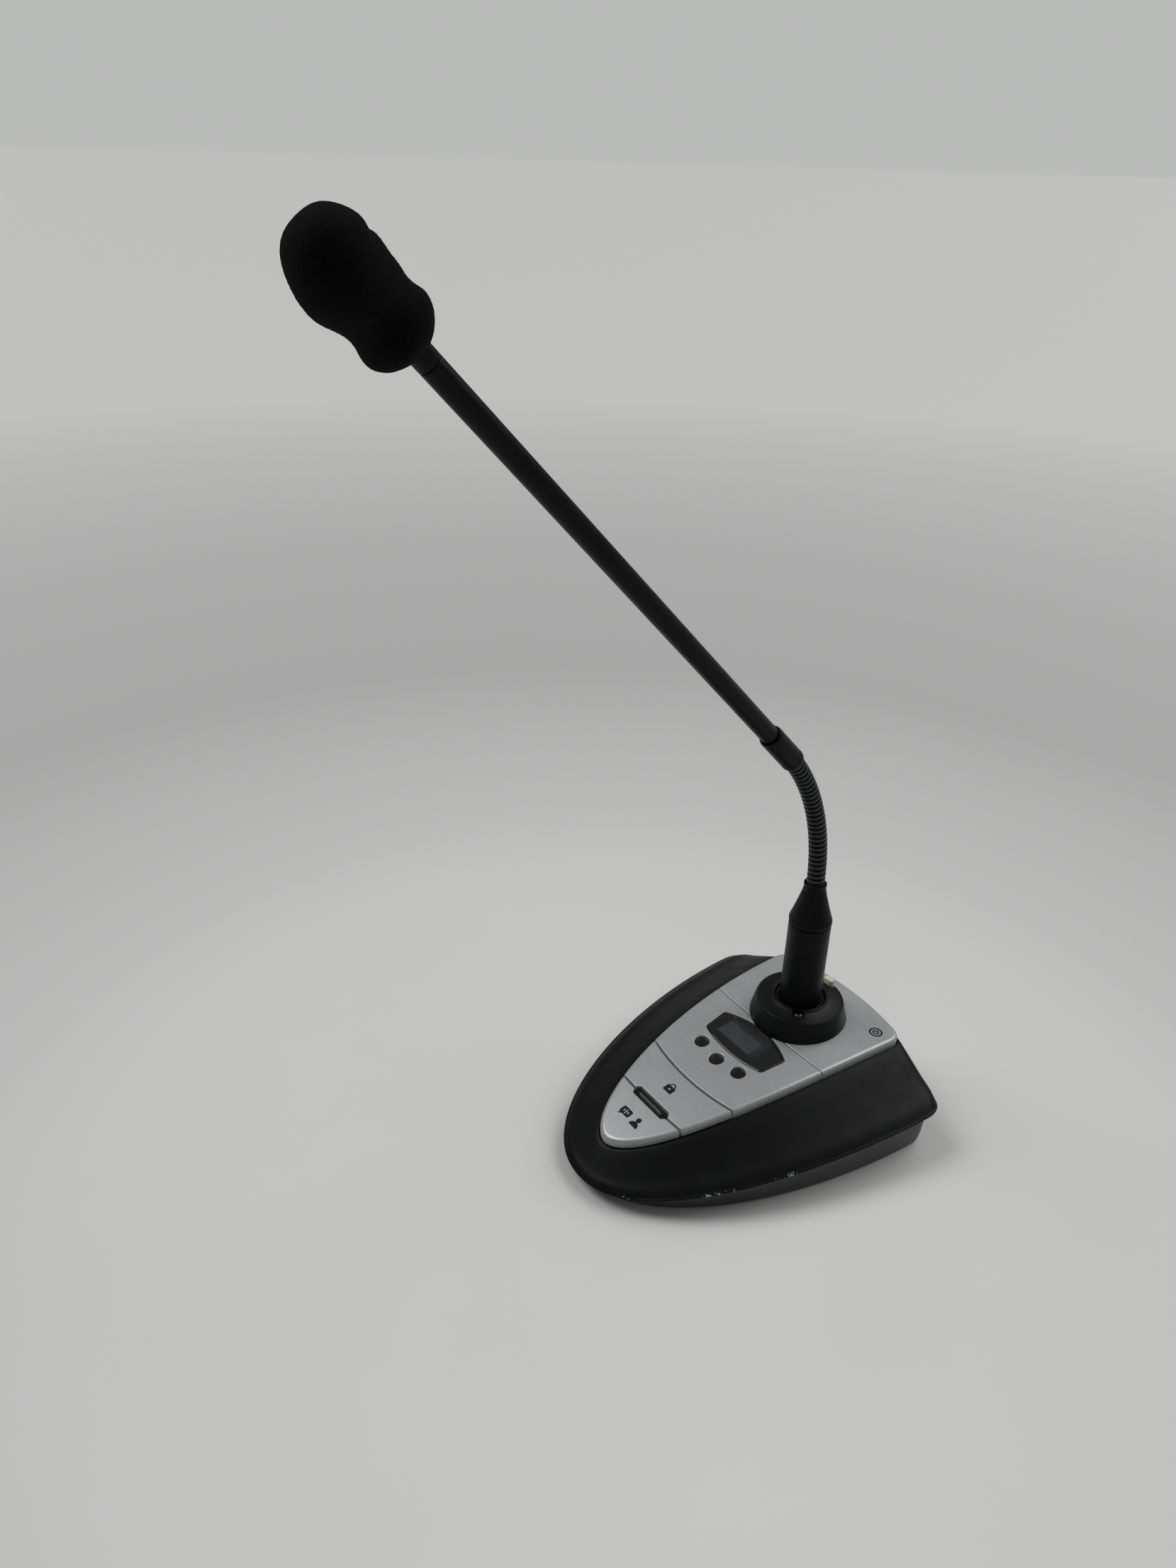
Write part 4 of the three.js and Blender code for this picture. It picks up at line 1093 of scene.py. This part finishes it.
# ------------------------------------------------------------------ what stands in the deck
def window_pieces():
    """A gloss black bezel, and the display seen through its opening."""
    x, y = (LCD["left"] + LCD["right"]) / 2, (LCD["front"] + LCD["rear"]) / 2
    half_x, half_y = (LCD["right"] - LCD["left"]) / 2, (LCD["rear"] - LCD["front"]) / 2
    outer = window_loop(-0.1)
    rim = np.vstack([outer, outer[:1]])
    opening = resampled(rounded_rectangle(x, y, half_x, half_y, 0.3, 4), 0.8)[:-1]
    make_piece(
        "display_bezel", plate_mesh(outer, [], [rim], [(opening[::-1], 0.12)], 2.6, crisp=0.7, sink=0.12),
        "gloss_black", "base", ["lcd_window"],
    )
    screen = resampled(rounded_rectangle(x, y, half_x - 0.06, half_y - 0.06, 0.25, 4), 0.8)[:-1]
    make_piece(
        "display_screen", plate_mesh(screen, [], [], [], 4.4, sink=0.42, thick=4), "lcd_glass", "base",
        ["lcd_module"],
    )


def light_bar_pieces():
    """The black holder in the keys' shared recess, and the loaf-shaped lens along its middle."""
    for name, size, corner, sink, crisp, drop, material, node in (
        ("light_bar_holder", LED["holder"], 1.3, 0.95, 0.5, 9, "soft_black", "led_holder"),
        ("light_bar_lens", LED["bar"], 1.05, 0.28, 0.85, 7, "smoked_plastic", "led_light_bar"),
    ):
        loop = resampled(rounded_rectangle(0, LED["y"], *size, corner), 0.5)
        loop = loop[:-1] if np.allclose(loop[0], loop[-1]) else loop
        rim = np.vstack([loop, loop[:1]])
        make_piece(
            name,
            plate_mesh(
                loop, [], [rim], [], drop,
                crisp=crisp, sink=sink, wall=0.4, thick=drop - 1.5, spacing=0.6,
            ),
            material, "base", [node],
        )


def button_pieces():
    """Three rubber buttons, each a little dished inside a soft rim, recessed below the deck."""
    for node in BUTTONS:
        bottom, (x, y) = button_place(node)
        top, flange = deck_z(y) - BUTTON_RECESS, deck_z(y) - PLATE_THICK - 0.8
        profile = rounded_profile([
            (0, bottom), (1.3, bottom), (1.3, flange - 1), (4, flange - 1), (4, flange), (
                BUTTON_RADIUS, flange,
            ),
            (BUTTON_RADIUS, top, 0.35), (2.45, top, 0.3), (2.2, top - 0.14, 0.3), (0, top - 0.2),
        ])
        make_piece(node + "_cap", turned_mesh(profile, 64, (x, y)), "button_rubber", node, [node])


def print_piece(name, outlines, centre, scale, body):
    """Thin printed marks on the deck; outlines holds (outer loop, hole loops) pairs about the centre."""
    points, faces = [], []
    for outer, holes in outlines:
        outer = outer * scale + centre
        holes = [hole * scale + centre for hole in holes]
        outer = resampled(np.vstack([outer, outer[:1]]), 0.4)[:-1]
        plan, triangles = triangulated(outer, holes, np.zeros((0, 2)))
        start, count = len(points), len(plan)
        for lift in (0.03, -0.03):
            points += [place(x, y, deck_z(y) + lift) for x, y in plan]
        faces += [tuple(int(i) + start for i in t) for t in triangles]
        faces += [tuple(int(i) + start + count for i in reversed(t)) for t in triangles]
        for loop in [outer, *holes]:
            ids = [int(np.argmin(np.hypot(*(plan - p).T))) + start for p in loop]
            faces += [(a, b, b + count, a + count) for a, b in zip(ids, ids[1:] + ids[:1])]
    make_piece(name, (points, faces), "legend", body)


def arc_band(x, y, inner, outer, start, end, steps=40):
    angles = np.radians(np.linspace(start, end, steps))
    out = np.column_stack([x + outer * np.cos(angles), y + outer * np.sin(angles)])
    back = np.column_stack([x + inner * np.cos(angles[::-1]), y + inner * np.sin(angles[::-1])])
    return np.vstack([out, back])


def box_loop(x0, x1, y0, y1):
    return np.array([(x0, y0), (x1, y0), (x1, y1), (x0, y1)], float)


def legend_pieces():
    """Plain symbols in place of the key names: a padlock, a speech mark and a person, and a power sign."""
    ring = [circle_loop(0, 0, 2.3)[::-1]]
    sign = [
        (circle_loop(0, 0, 3.1), ring),
        (arc_band(0, 0, 0.85, 1.55, 125, 415), []),
        (box_loop(-0.35, 0.35, 0.15, 1.95), []),
    ]
    print_piece("power_mark", sign, POWER_MARK, 1, "base")
    padlock = [
        (rounded_rectangle(0, -0.75, 1.75, 1.2, 0.3, 4), [circle_loop(0, -0.7, 0.38, 24)[::-1]]),
        (arc_band(0, 0.45, 0.75, 1.15, 0, 180), []),
    ]
    print_piece("lock_mark", padlock, LOCK_MARK, LEGEND_SCALE, "lock_key")
    tail = [(-1.5, -0.95), (-1.9, -1.9), (-0.5, -0.95)]
    bubble = reorder_around(np.vstack([rounded_rectangle(0, 0.3, 2.1, 1.25, 0.6, 5), tail]), (0, 0.3))
    bars = [
        rounded_rectangle(x, 0.3, 0.22, h, 0.2, 3)[::-1] for x, h in ((-0.9, 0.4), (0, 0.75), (0.9, 0.4))
    ]
    person = [(circle_loop(5.3, 1.0, 0.85, 40), []), (arc_band(5.3, -1.55, 0.001, 1.75, 0, 180), [])]
    print_piece("talk_mark", [(bubble, bars), *person], TALK_MARK, LEGEND_SCALE, "talk_key")


def reorder_around(loop, centre):
    """A star-shaped outline's points in order of their angle about its centre."""
    angles = np.arctan2(loop[:, 1] - centre[1], loop[:, 0] - centre[0])
    return loop[np.argsort(angles)]


# ------------------------------------------------------------------ socket and plug
def socket_pieces():
    crease_r, crease_z = CONE_CREASE
    rim_r, rim_z = CONE_RIM
    profile = rounded_profile([
        (CONE_BORE, 36), (22.35, 36), (22.25, 39.6), (21.75, 41.6), (21.1, 44.2), (20.5, 46.6, 0.5), (
            crease_r + 0.35, crease_z - 0.25, 0.3,
        ),
        (
            crease_r - 0.05, crease_z + 0.06, 0.25,
        ), (crease_r - 0.45, crease_z - 0.1, 0.2), (17, 48.42), (14.2, 48.85), (13.0, 49.35, 0.3),
        (12.75, rim_z - 0.1, 0.25), (rim_r, rim_z, 0.3), (
            CONE_BORE + 0.1, rim_z - 0.15, 0.2,
        ), (CONE_BORE, 48.9), (CONE_BORE, 36),
    ], 5)
    points, faces = turned_mesh(profile, 144)
    points = [Vector((p.x, p.y, max(p.z, (deck_z((p.y - SOCKET_Y) / MM) + 0.02) * MM))) for p in points]
    piece = make_piece("socket_cone_shell", (points, faces), "cone_plastic", None)
    notch = [(-3.3, TAB["front"] - 0.3), (3.3, TAB["front"] - 0.3), (3.3, 30), (-3.3, 30)]
    cutters = [cutter_mesh("notch", *prism_mesh(notch, 44, 60))]
    for x, y in SOCKET_SCREWS.values():
        pit = rounded_profile([(0, 47.3), (2.75, 47.3), (2.75, 48.9, 0.3), (3.4, 50.2), (3.4, 60), (0, 60)])
        cutters.append(cutter_mesh("pit", *turned_mesh(pit, 40, (x, y))))
    carve(piece, cutters)
    shade(piece, math.radians(35))
    finish_piece(piece, "base", ["socket_cone"])
    for node, (x, y) in SOCKET_SCREWS.items():
        screw_piece(node, x, y)
    tab = rounded_rectangle(
        0, (TAB["front"] + TAB["rear"]) / 2, TAB["half"], (TAB["rear"] - TAB["front"]) / 2, 1.2,
    )
    rows = [
        (0.3, TAB["bottom"]), (0, TAB["bottom"] + 0.3), (0, TAB["top"] - 0.7), (0.12, TAB["top"] - 0.3),
        (0.45, TAB["top"] - 0.07), (0.9, TAB["top"]),
    ]
    rings = [np.column_stack([offset_inward(tab, inset), np.full(len(tab), z)]) for inset, z in rows]
    points = [place(*p) for ring in rings for p in ring]
    n = len(tab)
    faces = [tuple(reversed(range(n))), tuple(range((len(rings) - 1) * n, len(rings) * n))]
    faces += [
        (k * n + i, k * n + (i + 1) % n, (k + 1) * n + (i + 1) % n, (k + 1) * n + i)
        for k in range(len(rings) - 1)
        for i in range(n)
    ]
    make_piece("release_tab_button", (points, faces), "cream_plastic", "release_tab", ["release_tab"])


def screw_piece(node, x, y):
    """A domed machine screw with a cross recess."""
    head = rounded_profile([
        (0, 34), (1.2, 34), (1.2, 47.4), (2.3, 47.4), (2.3, 48.2, 0.3), (
            1.7, 48.95, 0.6,
        ), (0.8, 49.25, 0.4), (0, 49.3),
    ])
    piece = make_piece(
        node + "_head", turned_mesh(head, 48, (x, y)), "dark_screws", None,
    )
    arms = [
        box_loop(x - 1.25, x + 1.25, y - 0.24, y + 0.24), box_loop(x - 0.24, x + 0.24, y - 1.25, y + 1.25),
    ]
    carve(piece, [cutter_mesh("arm", *prism_mesh([tuple(p) for p in arm], 48.5, 50)) for arm in arms])
    shade(piece, math.radians(35))
    finish_piece(piece, "base", [node])


def plug_pieces():
    barrel = rounded_profile([
        (8.5, 26.2), (9.1, 26.0, 0.2), (9.5, 26.5, 0.3), (
            9.5, 90.35, 0.2,
        ), (9.3, 90.7), (2, 90.7), (2, 57), (8.5, 57), (8.5, 26.2),
    ])
    make_piece("plug_shell", turned_mesh(barrel, 112), "black_metal", "plug", ["plug_barrel"])
    boot = rounded_profile([
        (1.7, 91), (9.35, 91), (
            9.55, 91.3, 0.2,
        ), (9.72, 92.5, 0.8), (8.9, 94.9, 0.9), (7.8, 98.3, 2), (6.65, 102.0, 2),
        (5.65, 105.6, 2), (5.0, 108.4, 1.4), (4.84, 110.2, 0.5), (5.06, 110.7, 0.3), (
            5.06, 111.25, 0.3,
        ), (4.7, 111.55, 0.2), (4.28, 111.3, 0.1),
        (4.25, 107.0), (1.7, 107.0), (1.7, 91),
    ])
    make_piece(
        "strain_boot", turned_mesh(boot, 112), "boot_rubber", "plug", ["plug_boot"],
    )


# ------------------------------------------------------------------ gooseneck
def link_tilt(i):
    return STEM_TILT * (i / (LINKS + 1)) ** TILT_GROWTH


def along_tilt(tilt):
    return np.array([0, -math.sin(tilt), math.cos(tilt)])


def pivots():
    spots = [np.array([0.0, 0.0, NECK_Z])]
    for i in range(1, LINKS + 1):
        spots.append(spots[-1] + along_tilt(link_tilt(i)) * PITCH)
    return spots


def gooseneck_pieces():
    """The wound coil as nine stretches, each bending over one pivot; every turn keeps its narrow groove."""
    spots = pivots()
    half = PITCH / 2
    rows_per_turn, sides = 14, 44
    rows_per_stretch = round(PITCH / RIB_PITCH * rows_per_turn)
    middles = [spots[k] - along_tilt(link_tilt(k)) * half for k in range(LINKS + 1)]
    middles.append(spots[LINKS] + along_tilt(STEM_TILT) * half)

    def centre(row):
        k = int(min(max(row // rows_per_stretch, 0), LINKS))
        t = row / rows_per_stretch - k
        a, b, c = middles[k], spots[k], middles[k + 1]
        spot = (1 - t) ** 2 * a + 2 * t * (1 - t) * b + t * t * c
        slope = (1 - t) * (b - a) + t * (c - b)
        return spot, slope / np.linalg.norm(slope)

    def vertex(row, col, radius):
        level = row + rows_per_turn * col / sides
        spot, forward = centre(level)
        side = np.array([1.0, 0, 0])
        angle = 2 * math.pi * col / sides
        out = math.cos(angle) * side + math.sin(angle) * np.cross(forward, side)
        return place(*(spot + out * radius))

    total = rows_per_stretch * (LINKS + 1) - rows_per_turn
    for k in range(LINKS + 1):
        first = 0 if k == 0 else rows_per_stretch * k - rows_per_turn // 2
        last = total if k == LINKS else rows_per_stretch * (k + 1) - rows_per_turn // 2
        index, outer, inner, faces, grooves = {}, [], [], [], []

        def number(row, col):
            if col == sides:
                row, col = row + rows_per_turn, 0
            if (row, col) not in index:
                index[row, col] = len(outer)
                phase = abs(2 * (row % rows_per_turn) / rows_per_turn - 1)
                # A mask of each turn's groove, which the flex material fills with painted shade.
                grooves.append(min(1, max(0, (phase - 0.62) / 0.2)))
                outer.append(vertex(row, col, FLEX_RADIUS + 0.02 - 0.75 * phase ** 6 - 0.12 * phase ** 2))
                inner.append(vertex(row, col, 2.7))
            return index[row, col]

        for row in range(first, last):
            for col in range(sides):
                faces.append(
                    (number(row, col), number(row, col + 1), number(row + 1, col + 1), number(row + 1, col))
                )
        points, faces = thickened(outer, inner, faces)
        replaced = [f"flex_link_{k + 1}"] if k < LINKS else []
        piece = make_piece(
            f"coil_stretch_{k + 1}", (points, faces), "flex_metal", None, replaced, sharp=math.radians(60),
        )
        paint_points(piece, "groove", grooves + grooves)
        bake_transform(piece)


def paint_points(piece, name, values):
    layer = piece.data.attributes.new(name, "FLOAT", "POINT")
    layer.data.foreach_set("value", values)


def thickened(outer, inner, faces):
    """A sheet and its inner copy joined along their open edges into one closed wall."""
    n = len(outer)
    edges = {}
    for face in faces:
        for a, b in zip(face, face[1:] + face[:1]):
            edges[a, b] = True
    rims = [(b, a, a + n, b + n) for a, b in edges if (b, a) not in edges]
    back = [tuple(i + n for i in reversed(face)) for face in faces]
    return outer + inner, faces + back + rims


# ------------------------------------------------------------------ stem and head, turned on the tilted axis
def stem_origin():
    return tuple(pivots()[-1])


def stem_mesh(profile, segments):
    return turned_mesh(profile, segments, tilt=STEM_TILT, origin=stem_origin())


def stem_piece(name, profile, node, segments):
    return make_piece(name, stem_mesh(profile, segments), "black_metal", "head", [node])


def stem_pieces():
    collar = rounded_profile([
        (4.25, 5.4), (4.25, 0.75), (4.5, 0.6, 0.1), (
            4.85, 0.75, 0.25,
        ), (5.0, 1.7, 0.5), (4.93, 3.2, 1), (4.9, 19.0, 0.5), (4.86, 20.4, 0.4),
        (4.62, 21.3, 0.3), (4.3, 21.35, 0.1), (4.15, 20.9), (4.15, 12), (1.7, 12), (1.7, 5.4), (4.25, 5.4),
    ])
    stem_piece("collar_sleeve", collar, "stem_collar", 96)
    tube = rounded_profile([
        (2.9, 12.3), (3.7, 12.3, 0.1), (3.9, 12.6, 0.1), (
            3.9, STEM_END - 0.3, 0.1,
        ), (3.7, STEM_END, 0.1), (2.9, STEM_END), (2.9, 12.3),
    ])
    stem_piece("stem_pipe", tube, "stem_tube", 96)
    shell = rounded_profile([
        (2, 226.7), (
            3.9, 226.7, 0.15,
        ), (3.95, 236.2, 0.3), (5.2, 238, 0.4), (5.2, 247.2, 0.1), (5.0, 247.4, 0.1), (5.0, 247.8, 0.1),
        (5.2, 248, 0.1), (5.2, 250.7, 0.15), (5.0, 251), (4.4, 251), (4.4, 236), (2, 236), (2, 226.7),
    ])
    stem_piece("capsule_shell", shell, "capsule_housing", 80)
    grille = rounded_profile([
        (4.3, 251.3), (
            5.0, 251.3, 0.1,
        ), (5.2, 251.6, 0.1), (5.2, 259.2, 0.8), (4.3, 261.2, 0.8), (2.4, 262, 0.6), (0, 262.1), (0, 260.8),
        (3.6, 260), (4.3, 258), (4.3, 251.3),
    ])
    piece = make_piece("capsule_cap", stem_mesh(grille, 80), "black_metal", None)
    holes = [(0, 0)] + [(2.4 * math.cos(a), 2.4 * math.sin(a)) for a in np.radians(range(0, 360, 60))]
    cutters = []
    lean = Matrix.Rotation(STEM_TILT, 3, "X")
    for x, y in holes:
        at = Vector(stem_origin()) + lean @ Vector((x, y, 250))
        drill = turned_mesh([(0, 0), (0.6, 0), (0.6, 20), (0, 20)], 20, tilt=STEM_TILT, origin=at)
        cutters.append(cutter_mesh("hole", *drill))
    for angle in np.radians(range(0, 360, 30)):
        at = Vector(stem_origin()) + lean @ Vector((0, 0, 255.5))
        around = lean @ Matrix.Rotation(angle, 3, "Z") @ Matrix.Rotation(math.pi / 2, 3, "Y")
        slot_points = [
            at + around @ Vector((z, x, y)) for y in (3, 7)
            for x, z in ((-0.5, -2), (0.5, -2), (0.5, 2), (-0.5, 2))
        ]
        faces = [(3, 2, 1, 0), (4, 5, 6, 7), (0, 1, 5, 4), (1, 2, 6, 5), (2, 3, 7, 6), (3, 0, 4, 7)]
        cutters.append(cutter_mesh("slot", [place(*p) for p in slot_points], faces))
    carve(piece, cutters)
    shade(piece, math.radians(35))
    finish_piece(piece, "head", ["capsule_grille"])


FOAM_OUTLINE = [
    (4.5, 3.4), (5.9, 2.9), (7.4, 3.7), (9.25, 5.1), (10.6, 6.6), (11.5, 8), (11.95, 9.6), (12.0, 11), (
        11.85, 12.4,
    ), (11.3, 14.4),
    (
        11.0, 16.4,
    ), (11.1, 19), (11.8, 22), (12.4, 25), (12.85, 28), (12.9, 31), (12.7, 34), (12.0, 37.4), (10.7, 40.4),
    (8.7, 43.2), (5.6, 45.3), (0, 46.4),
]


def foam_piece():
    """The windscreen: two bulbs and a waist, a little lopsided, with a torn-looking cell texture all over."""
    outline = smooth_steps(FOAM_OUTLINE, 230)
    bore = [
        (0, 262.7 - FOAM_START), (4.6, 262.7 - FOAM_START), (5.6, 261.4 - FOAM_START), (5.6, 7.2),
        (4.25, 5.6), (4.2, 3.8),
    ]
    profile = [(r, FOAM_START + z) for r, z in bore] + [(max(r, 0), FOAM_START + z) for r, z in outline]
    points, faces = stem_mesh(profile, 230)
    axis = Vector((0, -math.sin(STEM_TILT), math.cos(STEM_TILT)))
    base = place(*stem_origin())
    up = axis.cross(Vector((1, 0, 0)))
    moved = []
    for p in points:
        rest = p - base
        s = rest.dot(axis) / MM - FOAM_START
        out = rest - axis * rest.dot(axis)
        r = out.length / MM
        if r < 5.8 and 1 < s < 34:
            moved.append(p)
            continue
        direction = out.normalized() if r > 1e-4 else axis
        amount = foam_offset(p, s, out.dot(up) / MM / max(r, 3))
        moved.append(p + direction * amount * MM)
    piece = make_piece(
        "foam_windscreen", (moved, faces), "foam", "windscreen", ["windscreen"], sharp=math.radians(180),
    )


def foam_offset(p, s, cosine):
    """Millimetres to push a foam point outwards: slow dents, a pinch, a lean and fine cells."""
    slow = noise.noise(p * 95) * 0.28 + noise.noise(p * 210 + Vector((3, 1, 7))) * 0.16
    cells = noise.noise(p * 1250) * 0.09 + noise.noise(p * 2600) * 0.07
    notch = -0.8 * math.exp(-(((s - 33) / 1.6) ** 2)) * max(0, cosine - 0.55) / 0.45
    lean = -(1.3 * math.exp(-(((s - 28) / 8) ** 2)) + 1.0 * math.exp(-(((s - 6) / 4.5) ** 2))) * cosine
    return slow + cells + notch + lean


# ------------------------------------------------------------------ rear wall and underside
def rear_pieces():
    """The power inlet's round nose and the slide switch's ridged knob."""
    jack = rounded_profile([
        (2.75, 16), (2.75, 30.9, 0.2), (3.1, 31.35, 0.2), (3.5, 31.0, 0.2), (3.5, 26.1), (4.5, 26.1),
        (4.5, 12.1), (2.75, 12.1), (2.75, 16),
    ])
    make_piece("power_inlet", rearward_mesh(jack, 56), "soft_black", "base", ["dc_jack"])
    pin = rounded_profile([(0, 13), (0.95, 13), (0.95, 29.6, 0.4), (0, 30)])
    make_piece("power_inlet_pin", rearward_mesh(pin, 32), "bright_screws", "base")
    low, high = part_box("power_switch_knob")
    x0, x1, z0, z1 = low.x / MM, high.x / MM, low.z / MM, high.z / MM
    front, rear = (low.y - SOCKET_Y) / MM, (high.y - SOCKET_Y) / MM
    ridges = 4
    outline = [(x0 + 0.3, front), (x1 - 0.3, front), (x1 - 0.3, rear - 0.9)]
    step = (x1 - x0 - 0.6) / ridges
    for i in range(ridges):
        right = x1 - 0.3 - i * step
        outline += [
            (right - step * 0.2, rear), (right - step * 0.55, rear), (right - step * 0.8, rear - 0.8),
        ]
    outline.append((x0 + 0.3, rear - 0.9))
    make_piece(
        "power_switch_thumb", prism_mesh(outline, z0 + 0.3, z1 - 0.3), "soft_black", "power_switch",
        ["power_switch_knob"], sharp=math.radians(30),
    )


def foot_pieces():
    for i, (x, y) in enumerate(FEET):
        foot = rounded_profile(
            [(0, 0.25), (2.6, 0.25, 0.3), (3.2, 0, 0.2), (5.4, 0, 0.4), (6, 0.5, 0.3), (6, 1.6), (0, 1.6)]
        )
        make_piece(
            f"foot_pad_{i + 1}", turned_mesh(foot, 64, (x, y)), "foot_rubber", "base",
            [f"rubber_foot_{i + 1}"],
        )


# ------------------------------------------------------------------ everything together
def cad_materials():
    """Every CAD node gets the made material of its slot in the record."""
    for row in frame["record"]["subparts"]:
        node = frame["nodes"][row["node"]]
        node.data.materials.clear()
        node.data.materials.append(MATERIALS[row["material_slot"]])
        shade(node, math.radians(35))


def main():
    make_camera()
    make_stage()
    make_materials()
    cad_materials()
    upper_housing_piece()
    bottom_housing_piece()
    deck_pieces()
    window_pieces()
    light_bar_pieces()
    button_pieces()
    legend_pieces()
    socket_pieces()
    plug_pieces()
    gooseneck_pieces()
    stem_pieces()
    foam_piece()
    rear_pieces()
    foot_pieces()


main()
